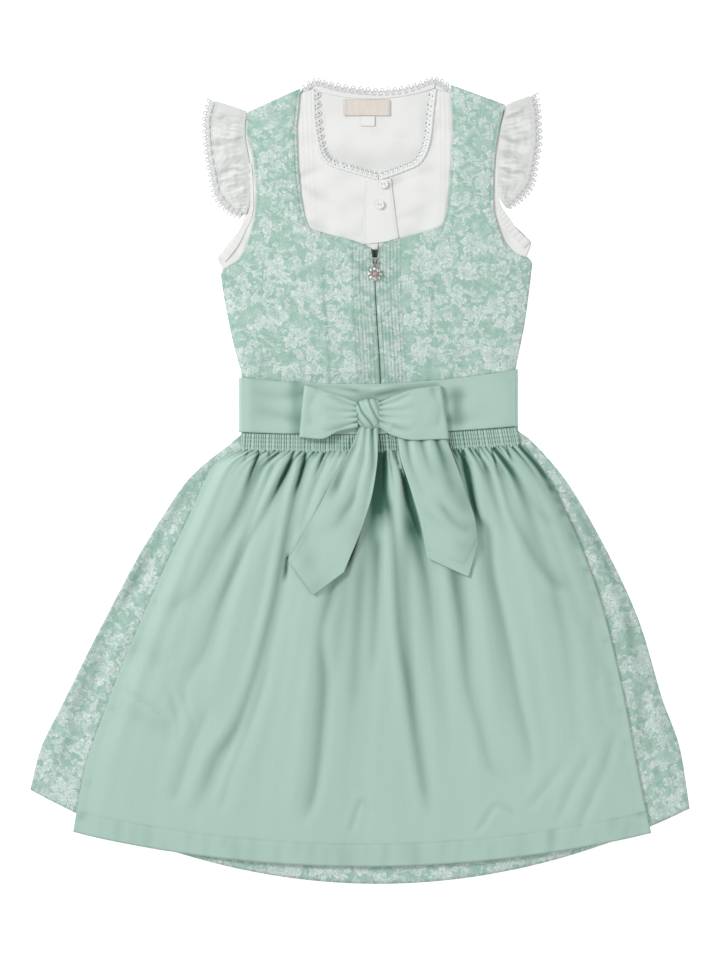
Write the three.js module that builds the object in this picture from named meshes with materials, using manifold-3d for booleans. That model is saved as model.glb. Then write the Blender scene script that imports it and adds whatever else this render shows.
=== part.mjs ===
// A child's dirndl laid flat on its back: a white blouse inside a brocade dress, with an apron
// whose ties wrap the waist and end in a bow.
// Millimetres. X runs across the garment, Y from hem to neck, Z up from the surface it lies on.
// Left and right are as seen from above. The origin is the middle of the box's underside.
import * as THREE from "three";
import { mergeVertices } from "three/addons/utils/BufferGeometryUtils.js";
import Module from "manifold-3d";

// ---------- driving dimensions ----------
const CLOTH = 1.2; // wall of a cloth layer
const GAP = 0.3; // clearance between pieces
const STEP = CLOTH + GAP; // one cloth layer and the clearance over it
const FINE = 1.0; // wall of the thin blouse cloth, lace and labels

const SASH_LOW = 46; // lower and upper edge of the tie behind the waist
const SASH_HIGH = 104;
const SASH_RAMP = 9; // length over which a back panel climbs onto the tie
const SIDE_TURN = 10; // width over which a front panel comes down to its side seam

const BLOUSE_BACK = STEP; // underside of each layer in the bodice
const BLOUSE_FRONT = BLOUSE_BACK + FINE + GAP;
const BODICE_FRONT = BLOUSE_FRONT + FINE + GAP;
const SKIRT_FRONT = STEP + 0.3;

const BODICE_LOFT = 2.6; // how far the bodice front stands up along its middle
const WAIST_LOFT = 0.6; // and at the waist, under the apron's band
const SKIRT_LOFT = 1.5;
const APRON_LOFT = 7.4; // just under the smocking
const APRON_HEM_LOFT = 2.4;

const MIDDLE = 18; // centre line of the bodice
const BODICE_UNDERARM = [206, 216.5]; // height of the left and right underarm
const ON_BLOUSE = BODICE_FRONT; // what is sewn on the blouse front
const SASH_EDGE = 2.2; // the tie's steep edge at each side of the waist
const SASH_SIDE = STEP; // underside of the front tie at its ends, over the side seams and inside
const SASH_OVER_SIDE = 5.2;
const SASH_FRONT = 6.6;
const FRILL_TOP = 5.6;
const KNOT_RISE = 8;
const SLIDER_X = 15; // the charm's pin on the zip slider
const SLIDER_Y = 219;
const PIN_RADIUS = 0.5;
const PIN_CLEARANCE = 0.08;
const EYE_WIDTH = 1.6;
const CHARM_REACH = 13; // from the pin to the middle of the flower

// ---------- small helpers ----------
const clamp = (t, low = 0, high = 1) => Math.min(high, Math.max(low, t));
const lerp = (a, b, t) => a + (b - a) * t;
const smooth = (from, to, t) => {
  const s = clamp((t - from) / (to - from));
  return s * s * (3 - 2 * s);
};
const bell = (d) => Math.exp(-d * d);

// A smooth line through points of any dimension that never swings past them; t runs from 0 to 1,
// evenly from point to point.
const slope = (before, after) => (before * after > 0 ? (2 * before * after) / (before + after) : 0);
function through(points) {
  const last = points.length - 1;
  return (t) => {
    const at = clamp(t) * last;
    const i = Math.min(Math.floor(at), last - 1);
    const s = at - i;
    return points[i].map((from, k) => {
      const rise = points[i + 1][k] - from;
      const start = i > 0 ? slope(from - points[i - 1][k], rise) : rise;
      const end = i + 2 <= last ? slope(rise, points[i + 2][k] - points[i + 1][k]) : rise;
      return from + s * (start + s * (3 * rise - 2 * start - end + s * (start + end - 2 * rise)));
    });
  };
}

// A panel's outline as a ladder. Each rung is [left x, left y, right x, right y, sag]: the rung
// bows by sag towards -Y in its middle. tip points the last rung: [where along it, how far].
function ladder(rungs, tip = null) {
  const line = through(rungs.map((r) => [r[0], r[1], r[2], r[3], r[4] || 0]));
  const lastStretch = 1 - 1 / (rungs.length - 1);
  return (u, v) => {
    const [x0, y0, x1, y1, sag] = line(v);
    let x = lerp(x0, x1, u);
    let y = lerp(y0, y1, u) - sag * 4 * u * (1 - u);
    if (tip) {
      const [at, reach] = tip;
      const share = (u < at ? u / at : (1 - u) / (1 - at)) * smooth(lastStretch, 1, v);
      const length = Math.hypot(x1 - x0, y1 - y0);
      x += (share * reach * (y1 - y0)) / length;
      y -= (share * reach * (x1 - x0)) / length;
    }
    return [x, y];
  };
}

const evenly = (n) => Array.from({ length: n + 1 }, (_, i) => i / n);
// Steps from 0 to 1 that crowd towards both ends.
const crowded = (n) => evenly(n).map((t) => (1 - Math.cos(Math.PI * t)) / 2);

// A closed wall of cloth between a lower surface and the same surface moved out by its thickness.
// surface(u, v) gives [x, y, z] of the lower side. upright walls are measured along Z, others
// square to the surface.
function wall(surface, us, vs, thickness, upright = true) {
  const columns = us.length;
  const rows = vs.length;
  const low = [];
  const high = [];
  const small = 1e-3;
  const point = (u, v) => new THREE.Vector3(...surface(u, v));
  for (const v of vs) {
    for (const u of us) {
      const p = point(u, v);
      const out = new THREE.Vector3(0, 0, 1);
      if (!upright) {
        const du = point(Math.min(u + small, 1), v).sub(point(Math.max(u - small, 0), v));
        const dv = point(u, Math.min(v + small, 1)).sub(point(u, Math.max(v - small, 0)));
        out.crossVectors(du, dv).normalize();
        if (surface.turned) out.negate();
      }
      low.push(p);
      high.push(p.clone().addScaledVector(out, thickness));
    }
  }
  const positions = [...low, ...high].flatMap((p) => [p.x, p.y, p.z]);
  const top = low.length;
  const at = (i, j) => j * columns + i;
  const faces = [];
  const quad = (a, b, c, d) => faces.push(a, b, c, a, c, d);
  for (let j = 0; j + 1 < rows; j++)
    for (let i = 0; i + 1 < columns; i++) {
      quad(top + at(i, j), top + at(i + 1, j), top + at(i + 1, j + 1), top + at(i, j + 1));
      quad(at(i, j), at(i, j + 1), at(i + 1, j + 1), at(i + 1, j));
    }
  const rim = [];
  for (let i = 0; i < columns - 1; i++) rim.push(at(i, 0));
  for (let j = 0; j < rows - 1; j++) rim.push(at(columns - 1, j));
  for (let i = columns - 1; i > 0; i--) rim.push(at(i, rows - 1));
  for (let j = rows - 1; j > 0; j--) rim.push(at(0, j));
  rim.forEach((a, k) => {
    const b = rim[(k + 1) % rim.length];
    quad(a, b, top + b, top + a);
  });
  const geometry = new THREE.BufferGeometry();
  geometry.setAttribute("position", new THREE.Float32BufferAttribute(positions, 3));
  geometry.setIndex(faces);
  if (signedVolume(geometry) < 0) {
    const index = geometry.index.array;
    for (let i = 0; i < index.length; i += 3) [index[i], index[i + 1]] = [index[i + 1], index[i]];
  }
  return geometry;
}

function signedVolume(geometry) {
  const p = geometry.getAttribute("position");
  const index = geometry.index.array;
  const corner = (i) => new THREE.Vector3().fromBufferAttribute(p, index[i]);
  let sum = 0;
  for (let i = 0; i < index.length; i += 3) sum += corner(i).dot(corner(i + 1).cross(corner(i + 2)));
  return sum / 6;
}

// A flat panel or a relief on an outline: height(x, y, u, v) is the underside's height.
const panel = (outline, height, us, vs, thickness = CLOTH, upright = true) =>
  wall(
    (u, v) => {
      const [x, y] = outline(u, v);
      return [x, y, height(x, y, u, v)];
    },
    us,
    vs,
    thickness,
    upright,
  );

// ---------- materials ----------
const cloth = (colour, roughness = 0.85) => new THREE.MeshStandardMaterial({ color: colour, roughness });
const BROCADE = cloth(0xa9cdc0, 0.8);
const APRON_CLOTH = cloth(0x9cc6b5, 0.6);
const COTTON = cloth(0xecece8);
const LACE = cloth(0xf0f0ee);
const LABEL = cloth(0xe6d8cc);
const SHELL = new THREE.MeshStandardMaterial({ color: 0xf4f4f0, roughness: 0.3 });
const METAL = new THREE.MeshStandardMaterial({ color: 0x77736b, roughness: 0.35, metalness: 1 });
const STONE = new THREE.MeshStandardMaterial({ color: 0xd99a86, roughness: 0.15 });
const ZIP_TAPE = cloth(0x86ad9d);

const group = new THREE.Group();
function add(name, geometry, material) {
  const mesh = new THREE.Mesh(geometry, material);
  mesh.name = name;
  group.add(mesh);
  return mesh;
}

// ---------- outlines, from the hem up ----------
const skirtOutline = ladder([
  [-330.7, -310.5, 330.6, -329.5, 84.5],
  [-321, -272, 321, -270, 78],
  [-296, -220, 303, -219, 68],
  [-257, -142, 280, -142, 48],
  [-212, -59, 240, -57, 26],
  [-168, 5, 203, 4, 8],
  [-128, 38, 172, 39, 1],
  [-118.8, 47.5, 156.2, 53.5],
  [-117, 74, 154, 78],
]);
const apronOutline = ladder([
  [-287.3, -352.4, 291.6, -353.5, 34],
  [-277, -295, 279, -294, 30],
  [-252, -221, 264, -215, 24],
  [-212, -124, 241, -121, 17],
  [-176, -46, 211, -42, 9],
  [-144, 17, 185, 8, 3],
  [-120, 31, 162, 36, 4],
]);
const smockOutline = ladder([
  [-120, 31.3, 162, 36.3, 4],
  [-119, 46.8, 158, 52.5, 4.2],
]);
const sashFrontOutline = ladder([
  [-121.5, 48, 158.5, 54, 5],
  [-121.5, 103, 158.5, 111, 10.5],
]);
const sashBackOutline = ladder([
  [-121.5, 49, 158.5, 49],
  [-121.5, 102, 158.5, 102],
]);

// Bodice halves: side seam, armhole and shoulder on one side; closure, neckline and strap on the other.
const bodiceLeftOutline = ladder([
  [-117, 74.3, 21.7, 76.4],
  [-118.6, 104, 20, 106],
  [-124, 125, 19, 126],
  [-131, 155, 16.4, 164],
  [-139.3, 205.7, 14.6, 203],
  [-121.6, 221, 12.8, 229.5],
  [-111.5, 240, -4, 239],
  [-106.3, 259.5, -34, 246.5],
  [-104.4, 272, -50, 251.5],
  [-103.8, 285, -56, 266],
  [-106.3, 320.5, -62.5, 318],
  [-113.3, 348.5, -63.5, 350],
  [-113, 368.5, -59.5, 392.4],
]);
const bodiceRightOutline = ladder([
  [22.3, 76.4, 154, 78.4],
  [20.6, 106, 155.4, 106],
  [19.6, 126, 158.8, 125],
  [17, 164, 165.6, 160],
  [15.4, 203, 172.4, 216.6],
  [17.4, 229, 154.3, 228.7],
  [24, 237.4, 143.6, 240.8],
  [60, 247, 136.9, 260.8],
  [83, 256.5, 134.2, 270],
  [87.4, 276, 133.3, 284],
  [91.5, 322, 134.6, 320],
  [92.8, 360, 139, 350],
  [90.7, 396, 145.5, 376],
]);
const bodiceBackLeftOutline = ladder([
  [-117, 74.3, 17.7, 76.3],
  [-118.6, 104, 17.7, 106],
  [-124, 125, 17.7, 125],
  [-139.3, 205.7, 17.7, 206],
  [-118, 226, 17.7, 240],
  [-104.4, 272, 17.7, 290],
  [-105, 305, -20, 297],
  [-107, 325, -52, 322],
  [-113, 349, -62, 352],
  [-112.6, 368, -59.9, 391.8],
]);
const bodiceBackRightOutline = ladder([
  [18.1, 76.3, 154, 78.3],
  [18.1, 106, 155.4, 106],
  [18.1, 125, 158.8, 125],
  [18.1, 206, 172.4, 216.6],
  [18.1, 240, 150, 234],
  [18.1, 290, 134.2, 275],
  [56, 297, 134, 305],
  [84, 322, 135, 322],
  [92, 360, 139, 350],
  [91, 395.4, 145, 375.6],
]);

// Blouse: armhole and side on the outside, neckline and closure on the inside.
const blouseBackOutline = ladder([
  [-112, 122, 146, 126],
  [-123, 185, 153, 193],
  [-140.5, 221, 169.5, 236.5],
  [-117, 258, 147.5, 263],
  [-109.5, 284.7, 137.5, 290],
  [-114, 316.5, 139, 320],
  [-118, 348.5, 141.6, 350],
  [-112, 367, 145, 374, -14],
  [-43, 395.5, 73, 397.5, 9.5],
]);
const blouseLeftOutline = ladder([
  [-112, 122, 19.3, 124],
  [-122.6, 190, 18.8, 180],
  [-129.1, 203, 18.8, 215],
  [-142.7, 222.2, 18.8, 250],
  [-126.7, 238.8, 18.8, 275],
  [-116.5, 261.7, 18.6, 301],
  [-113, 270, 5, 304.5],
  [-109.5, 278, -9, 309],
  [-110, 292, -31, 316.5],
  [-112, 305, -39, 324],
  [-114, 316.5, -44, 344.5],
  [-117, 348.5, -46.7, 366],
  [-112.5, 367.5, -47.5, 392],
]);
const blouseRightOutline = ladder([
  [19.7, 124, 146, 126],
  [19.2, 180, 156, 198],
  [19.2, 215, 162, 213],
  [19.2, 250, 171.7, 237.4],
  [19.2, 275, 157, 250],
  [19.2, 301, 146.5, 265],
  [32, 305, 141.5, 271.5],
  [45, 310, 138.5, 278],
  [58, 316.4, 138, 292],
  [66.3, 328, 138.4, 305],
  [70.6, 344.5, 139.6, 334.5],
  [73, 366, 142.6, 362],
  [76, 392, 145, 375],
]);
const placketOutline = ladder([
  [3, 236, 39, 240],
  [3, 262, 36, 262],
  [5, 299, 31, 302.5],
]);
// The lace's stitched edge first, then its toothed edge, from the shoulder to the centre front.
const neckLaceLeftOutline = ladder([
  [-46.8, 392, -40, 391],
  [-46, 366, -39, 366],
  [-43.2, 344.6, -36.5, 346],
  [-38.4, 324.7, -33, 330],
  [-30.8, 317.2, -28, 323],
  [-8.5, 309.9, -8, 316],
  [5.3, 305.7, 5, 312],
  [18.4, 302.1, 18.4, 308.5],
]);
const neckLaceRightOutline = ladder([
  [75.3, 392, 68.6, 391],
  [72.3, 366, 65.4, 366],
  [69.8, 344.6, 63.4, 346],
  [65.6, 328.7, 60, 333],
  [57.5, 317.1, 54, 322.6],
  [44.5, 311.1, 43.4, 317],
  [31.6, 306.3, 31, 312.6],
  [19, 302.1, 19, 308.5],
]);
const neckBandOutline = ladder([
  [-38, 388.4, 66, 390.4, 7.4],
  [-38, 394.9, 67, 396.9, 8.7],
]);
const backLaceOutline = ladder([
  [-43.5, 397.1, 73.5, 399.1, 9.5],
  [-45, 402.6, 75, 404.6, 11.5],
]);
const bindingLeftOutline = ladder([
  [-113, 318, -108.7, 317],
  [-110.4, 295, -106.9, 294],
  [-109.6, 280, -106.6, 277],
  [-112.6, 267, -108.9, 262],
  [-118.2, 257, -113.4, 252],
  [-128, 239.5, -122, 235],
  [-142.2, 223.4, -134.5, 218.6],
]);
const bindingRightOutline = ladder([
  [139, 322, 136.4, 321],
  [138.3, 305, 135.4, 304],
  [138.4, 290, 135.4, 287],
  [139.8, 278, 136.6, 272],
  [147.4, 266, 141.6, 260],
  [157, 252, 151, 247],
  [171.2, 238.6, 164.4, 232.2],
]);
// Frills at the armholes, from the shoulder fold to the underarm; and the lace on their edge.
const frillLeftOutline = ladder([
  [-120, 264.4, -113.6, 268],
  [-129, 274.5, -110.8, 282],
  [-141.5, 290, -111.6, 298],
  [-145.5, 308, -114.2, 318],
  [-150, 335, -117.2, 338],
  [-151.4, 358, -118, 354],
  [-146, 378, -114.6, 368],
]);
const frillLaceLeftOutline = ladder([
  [-120.6, 259.6, -124.8, 264.4],
  [-134.6, 269.6, -130.2, 273.4],
  [-147.8, 286, -142.3, 289.6],
  [-151.8, 306, -146.3, 307.6],
  [-156.4, 335, -150.8, 334.8],
  [-158, 360, -152.2, 358.6],
  [-152.6, 383.2, -147, 380],
]);
const frillRightOutline = ladder([
  [146.5, 273, 141.6, 281],
  [158.5, 287, 139, 293],
  [167.5, 300, 139.4, 306],
  [172, 318, 140, 322],
  [175.6, 342, 142.6, 344],
  [175, 366, 144.6, 360],
  [170.6, 383, 146.8, 374.6],
]);
const frillLaceRightOutline = ladder([
  [150.5, 271.6, 147.4, 272.6],
  [163.6, 281.6, 159.4, 286.6],
  [174.4, 296.6, 168.6, 299.6],
  [178, 317, 172.9, 317.6],
  [182, 342, 176.4, 341.8],
  [181, 368, 175.8, 366.6],
  [178, 389.4, 171.6, 385],
]);
// Bow: loops from the knot outwards, tails from the knot down.
const loopLeftOutline = ladder([
  [-6, 55, -6, 76.5],
  [-21, 49.5, -19, 83.5],
  [-37.5, 42, -35, 88],
  [-56.5, 45, -52, 93.6],
]);
const loopRightOutline = ladder([
  [21, 76, 21, 53],
  [35, 84, 33, 45.5],
  [53, 90.6, 51, 41],
  [73, 93.6, 80, 45],
]);
const tailLeftOutline = ladder([
  [-18, 44, 9, 46],
  [-27, 22, 17.6, 20],
  [-42, -7, 11, -18],
  [-57, -45, -1, -54],
  [-70, -79, -13.5, -91],
], [0.25, 16]);
const tailRightOutline = ladder([
  [37.6, 37, 84, 42],
  [43, 10, 92, 20],
  [53, -20, 103, -10],
  [60, -46, 112, -38],
  [68, -74.5, 118, -66],
], [0.7, 26]);

// ---------- heights ----------
const ramp = (y) =>
  smooth(SASH_LOW - SASH_RAMP, SASH_LOW, y) * (1 - smooth(SASH_HIGH, SASH_HIGH + SASH_RAMP, y));
// Underside of the back panels: on the surface, and over the tie behind the waist.
const backHeight = (x, y) => STEP * ramp(y);
const skirtHeight = (x, y, u) =>
  SKIRT_FRONT + STEP * ramp(y) + SKIRT_LOFT * clamp(16 * u * (1 - u));

// The bodice front lies on the blouse, and comes down to the back panel along each side seam.
function bodiceHeight(x, y) {
  const across = (x - MIDDLE) / 150;
  const loft = lerp(WAIST_LOFT, BODICE_LOFT, smooth(105, 150, y)) * Math.max(0, 1 - across * across);
  const left = x - lerp(-117, -139.3, clamp((y - 74) / 132));
  const right = lerp(154, 172.4, clamp((y - 78) / 139)) - x;
  const [leftUnderarm, rightUnderarm] = BODICE_UNDERARM;
  const drop = (distance, underarm) =>
    (1 - smooth(0, SIDE_TURN, distance)) * smooth(2, SIDE_TURN + 2, underarm - y);
  const down = Math.max(drop(left, leftUnderarm), drop(right, rightUnderarm));
  return lerp(BODICE_FRONT + loft, SKIRT_FRONT + STEP * ramp(y), down);
}

// Folds of the apron, each a trough: its line from the smocking down, its half width and its
// depth at the start and the end.
const APRON_TROUGHS = [
  { line: [[-102, 24], [-132, -32], [-165, -88], [-212, -143]], width: [6, 15], depth: [4.5, 0.8] },
  { line: [[-70, 24], [-118, -58], [-143, -125], [-175, -210]], width: [6, 13], depth: [5.5, 1.5] },
  {
    line: [[-30, 22], [-73, -80], [-110, -180], [-153, -280], [-181, -372]],
    width: [7, 15],
    depth: [5, 2],
  },
  { line: [[-43, -120], [-38, -210], [-45, -300], [-60, -384]], width: [9, 14], depth: [1.5, 2] },
  { line: [[19, 32], [21, 0], [24, -45]], width: [7, 9], depth: [6.5, 3] },
  { line: [[24, -45], [43, -145], [58, -245], [75, -385]], width: [9, 13], depth: [3, 2] },
  { line: [[85, -100], [100, -190], [122, -268], [150, -325]], width: [10, 14], depth: [1.5, 0.8] },
  {
    line: [[105, 25], [121, -45], [138, -140], [160, -240], [180, -330]],
    width: [8, 15],
    depth: [6, 1.5],
  },
  { line: [[140, 22], [156, -28], [186, -90], [218, -114]], width: [7, 12], depth: [4, 0.6] },
];
const TROUGH_STEPS = 24;
for (const fold of APRON_TROUGHS) {
  const line = through(fold.line);
  fold.steps = Array.from({ length: TROUGH_STEPS + 1 }, (_, i) => line(i / TROUGH_STEPS));
}
function troughDepth(fold, x, y) {
  let nearest = Infinity;
  let at = 0;
  fold.steps.forEach(([px, py], i) => {
    const distance = Math.hypot(px - x, py - y);
    if (distance < nearest) [nearest, at] = [distance, i / TROUGH_STEPS];
  });
  const depth = lerp(fold.depth[0], fold.depth[1], at);
  return depth * bell(nearest / lerp(fold.width[0], fold.width[1], at));
}

// The height at which a piece may lie flat on the skirt.
const onSkirt = (y) => SKIRT_FRONT + STEP * ramp(y) + SKIRT_LOFT + STEP + 0.2;
const apronLoft = (v) => lerp(APRON_HEM_LOFT, APRON_LOFT, smooth(0, 1, v) ** 0.7);
function apronHeight(x, y, u, v) {
  const sides = smooth(0, 0.09, Math.min(u, 1 - u));
  const underBand = 1 - smooth(0.93, 1, v);
  const loft = apronLoft(v) * sides * underBand;
  const sunk = APRON_TROUGHS.reduce((most, fold) => Math.max(most, troughDepth(fold, x, y)), 0);
  return onSkirt(y) + Math.max(0.1, loft - sunk);
}
const smockHeight = (x, y) => onSkirt(y);

// The tie passes over both front panels and comes down to the surface outside their side edges.
function sashHeight(x) {
  const inside = Math.min(x + 121.5, 158.5 - x);
  const rise = clamp(inside / SASH_EDGE) * (SASH_OVER_SIDE - SASH_SIDE);
  const onto = smooth(SASH_EDGE, SASH_EDGE + SIDE_TURN, inside) * (SASH_FRONT - SASH_OVER_SIDE);
  return SASH_SIDE + rise + onto;
}
const BOW = SASH_FRONT + CLOTH + GAP + 0.1; // the bow rests here
const TAIL = onSkirt(0) + APRON_LOFT + CLOTH + 0.5; // a tail over the apron's folds
const tailHeight = (x, y) => lerp(BOW + 0.6, TAIL, smooth(46, 27, y));

const FRILL_WAVE = 1.1; // height of the frill's small pleats
const frillWave = (t) => FRILL_WAVE * Math.cos(2 * Math.PI * 6 * t);

// A band folded over at the end of its outline. lowFace and highFace are its outer faces.
function folded(outline, lowFace, highFace, us, stretch, thickness) {
  const turn = 0.08; // share of the length on each side of the fold that is rounded
  const surface = (u, v) => {
    const s = 2 * v - 1;
    const t = clamp((1 - Math.abs(s)) / (1 - turn));
    const [x, y] = outline(u, t);
    const low = lowFace(x, y, u, t);
    const high = highFace(x, y, u, t);
    if (Math.abs(s) > turn) return [x, y, s < 0 ? low : high];
    const [bx, by] = outline(u, 0.97);
    const length = Math.hypot(x - bx, y - by);
    const radius = (high - low) / 2;
    const angle = (s / turn) * (Math.PI / 2);
    const out = (radius * Math.cos(angle)) / length;
    return [x + (x - bx) * out, y + (y - by) * out, low + radius + radius * Math.sin(angle)];
  };
  surface.turned = outline.turned;
  const stretches = [...stretch.map((t) => t / 2), 0.46, 0.475, 0.49, 0.51, 0.525, 0.54];
  const vs = [...stretches, ...stretch.map((t) => 1 - t / 2)].sort((a, b) => a - b);
  return wall(surface, us, vs, thickness, false);
}

// ---------- the dress ----------
const waistRows = [0.75, 0.78, 0.81, 0.84, 0.875, 1];
add(
  "skirt_back",
  panel(skirtOutline, backHeight, crowded(10), [...evenly(8).slice(0, 6), ...waistRows]),
  BROCADE,
);
add(
  "skirt_front",
  panel(skirtOutline, skirtHeight, crowded(20), [...evenly(16).slice(0, 12), ...waistRows]),
  BROCADE,
);
const backRows = [...evenly(27).slice(0, 6), ...evenly(18).slice(4)];
const backColumns = [0, 0.35, 0.7, 1];
add("bodice_back_left", panel(bodiceBackLeftOutline, backHeight, backColumns, backRows), BROCADE);
add("bodice_back_right", panel(bodiceBackRightOutline, backHeight, backColumns, backRows), BROCADE);
const frontRows = evenly(36);
const frontColumns = [0, 0.035, 0.07, 0.14, 0.35, 0.6, 0.8, 1];
add("bodice_front_left", panel(bodiceLeftOutline, bodiceHeight, frontColumns, frontRows), BROCADE);
add(
  "bodice_front_right",
  panel(bodiceRightOutline, bodiceHeight, frontColumns.map((u) => 1 - u).reverse(), frontRows),
  BROCADE,
);
add(
  "zip_tape",
  panel(ladder([[10, 132, 28, 132], [5, 226, 25, 226]]), () => ON_BLOUSE, [0, 1], [0, 1], FINE),
  ZIP_TAPE,
);

// ---------- the blouse ----------
const onBlouseBack = () => BLOUSE_BACK;
const blouseColumns = [0, 0.3, 0.6, 1];
add("blouse_back", panel(blouseBackOutline, onBlouseBack, evenly(8), evenly(16), FINE), COTTON);
const frontLevel = () => BLOUSE_FRONT;
const onFront = () => ON_BLOUSE;
const blouseRows = evenly(22);
for (const [side, front, lace, binding] of [
  ["left", blouseLeftOutline, neckLaceLeftOutline, bindingLeftOutline],
  ["right", blouseRightOutline, neckLaceRightOutline, bindingRightOutline],
]) {
  add("blouse_front_" + side, panel(front, frontLevel, blouseColumns, blouseRows, FINE), COTTON);
  add("neck_lace_" + side, panel(lace, frontLevel, [0, 1], evenly(18), FINE), LACE);
  add("armhole_binding_" + side, panel(binding, onFront, [0, 1], evenly(12), FINE), COTTON);
}
add("blouse_placket", panel(placketOutline, onFront, [0, 0.5, 1], evenly(4), FINE), COTTON);
add("neck_band_back", panel(neckBandOutline, frontLevel, evenly(10), [0, 1], FINE), COTTON);
add("neck_lace_back", panel(backLaceOutline, onBlouseBack, evenly(12), [0, 1], FINE), LACE);
const frillLow = () => 0.1;
const frillHigh = (x, y, u, t) => FRILL_TOP + frillWave(t) * (1 - 0.5 * u) * smooth(1, 0.8, t);
const frillStretch = evenly(12).slice(0, 12).map((t) => t * 0.92);
for (const [side, outline, lace] of [
  ["left", frillLeftOutline, frillLaceLeftOutline],
  ["right", frillRightOutline, frillLaceRightOutline],
]) {
  outline.turned = side === "right";
  add(
    "frill_" + side,
    folded(outline, frillLow, frillHigh, evenly(3), frillStretch, FINE),
    COTTON,
  );
  const laceHeight = (x, y, u, v) => FRILL_TOP - FINE + frillWave(v) * smooth(1, 0.8, v);
  add("frill_lace_" + side, panel(lace, laceHeight, [0, 1], evenly(24), FINE), LACE);
}
const square = (x0, y0, x1, y1) => ladder([[x0, y0, x1, y0], [x0, y1, x1, y1]]);
add("neck_label", panel(square(-16, 365.2, 30, 381.2), frontLevel, [0, 1], [0, 1], FINE), LABEL);
add("size_label", panel(square(0.5, 355, 14.6, 364.8), frontLevel, [0, 1], [0, 1], FINE), LABEL);

// ---------- the apron ----------
add(
  "apron_panel",
  panel(apronOutline, apronHeight, evenly(44), [...evenly(17).slice(0, 16), 0.93, 0.95, 0.975, 1]),
  APRON_CLOTH,
);
add("apron_smocked_band", panel(smockOutline, smockHeight, evenly(14), evenly(4)), APRON_CLOTH);
add("sash_back", panel(sashBackOutline, () => 0, evenly(4), [0, 1]), APRON_CLOTH);
const SASH_LENGTH = 280;
const sashEnd = [0, SASH_EDGE / SASH_LENGTH, 0.025, 0.047, 0.1];
const sashColumns = [...sashEnd, ...evenly(8).slice(2, 7), ...sashEnd.map((u) => 1 - u).reverse()];
add("sash_front", panel(sashFrontOutline, sashHeight, sashColumns, evenly(2)), APRON_CLOTH);

const loopRise = (t) => lerp(3.4, 6.4, smooth(0, 0.6, t)) - 1.6 * smooth(0.6, 1, t);
const loopStretch = [0, 0.2, 0.4, 0.6, 0.75, 0.87];
for (const [side, outline] of [["left", loopLeftOutline], ["right", loopRightOutline]]) {
  add(
    "bow_loop_" + side,
    folded(outline, () => BOW, (x, y, u, t) => BOW + loopRise(t), evenly(5), loopStretch, CLOTH),
    APRON_CLOTH,
  );
}
add("bow_tail_left", panel(tailLeftOutline, tailHeight, evenly(8), evenly(12)), APRON_CLOTH);
add("bow_tail_right", panel(tailRightOutline, tailHeight, evenly(8), evenly(12)), APRON_CLOTH);
const knotOutline = ladder([
  [2, 51.4, 19, 51.4],
  [-4.8, 57, 20.2, 57],
  [-5, 72, 20.2, 72],
  [2, 81, 17, 81],
]);
const arch = (t) => clamp(4 * t * (1 - t));
const knotHeight = (x, y, u, v) => BOW + KNOT_RISE * arch(u) ** 0.6 * arch(v) ** 0.5;
add("bow_knot", panel(knotOutline, knotHeight, crowded(8), crowded(8)), APRON_CLOTH);

// ---------- buttons, zip slider and its charm ----------
const manifold = await Module();
manifold.setup();
const { Manifold, Mesh } = manifold;
function solid(geometry) {
  const bare = geometry.clone().deleteAttribute("normal").deleteAttribute("uv");
  const merged = mergeVertices(bare);
  const vertProperties = merged.attributes.position.array;
  const triVerts = Uint32Array.from(merged.index.array);
  return new Manifold(new Mesh({ numProp: 3, vertProperties, triVerts }));
}
function joined(geometries) {
  const mesh = Manifold.union(geometries.map(solid)).getMesh();
  const geometry = new THREE.BufferGeometry();
  geometry.setAttribute("position", new THREE.Float32BufferAttribute(mesh.vertProperties, 3));
  geometry.setIndex([...mesh.triVerts]);
  return geometry;
}
const ring = (x, y, r) => new THREE.Path().absarc(x, y, r, 0, 2 * Math.PI, true);
function disc(radius, depth, x, y, z, holes = []) {
  const shape = new THREE.Shape().absarc(0, 0, radius, 0, 2 * Math.PI);
  shape.holes = holes.map((hole) => ring(...hole));
  const geometry = new THREE.ExtrudeGeometry(shape, { depth, bevelEnabled: false, curveSegments: 24 });
  return geometry.translate(x, y, z);
}
const buttonHoles = [[-1.3, 0, 0.55], [1.3, 0, 0.55]];
const onPlacket = ON_BLOUSE + FINE + GAP;
add("blouse_button_1", disc(4.5, 1.8, 23.6, 296.5, onPlacket, buttonHoles), SHELL);
add("blouse_button_2", disc(4.5, 1.8, 19.6, 276, onPlacket, buttonHoles), SHELL);

const block = (sx, sy, sz, x, y, z) => new THREE.BoxGeometry(sx, sy, sz).translate(x, y, z);
const rod = (radius, length, x, y, z) =>
  new THREE.CylinderGeometry(radius, radius, length, 48).rotateZ(Math.PI / 2).translate(x, y, z);
const PLATE_Z = BODICE_FRONT + BODICE_LOFT + CLOTH + 0.4;
const PIN_Z = PLATE_Z + 3.1;
add(
  "zip_slider",
  joined([
    block(4.6, 9, 1.3, SLIDER_X, SLIDER_Y - 1, PLATE_Z + 0.65),
    block(0.9, 2.4, 3.2, SLIDER_X - 1.8, SLIDER_Y, PLATE_Z + 2.7),
    block(0.9, 2.4, 3.2, SLIDER_X + 1.8, SLIDER_Y, PLATE_Z + 2.7),
    rod(PIN_RADIUS, 4.2, SLIDER_X, SLIDER_Y, PIN_Z),
  ]),
  METAL,
);
const eye = disc(1.5, EYE_WIDTH, 0, 0, -EYE_WIDTH / 2, [[0, 0, PIN_RADIUS + PIN_CLEARANCE]])
  .rotateY(Math.PI / 2)
  .translate(SLIDER_X, SLIDER_Y, PIN_Z);
const FLOWER_Y = SLIDER_Y - CHARM_REACH;
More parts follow.
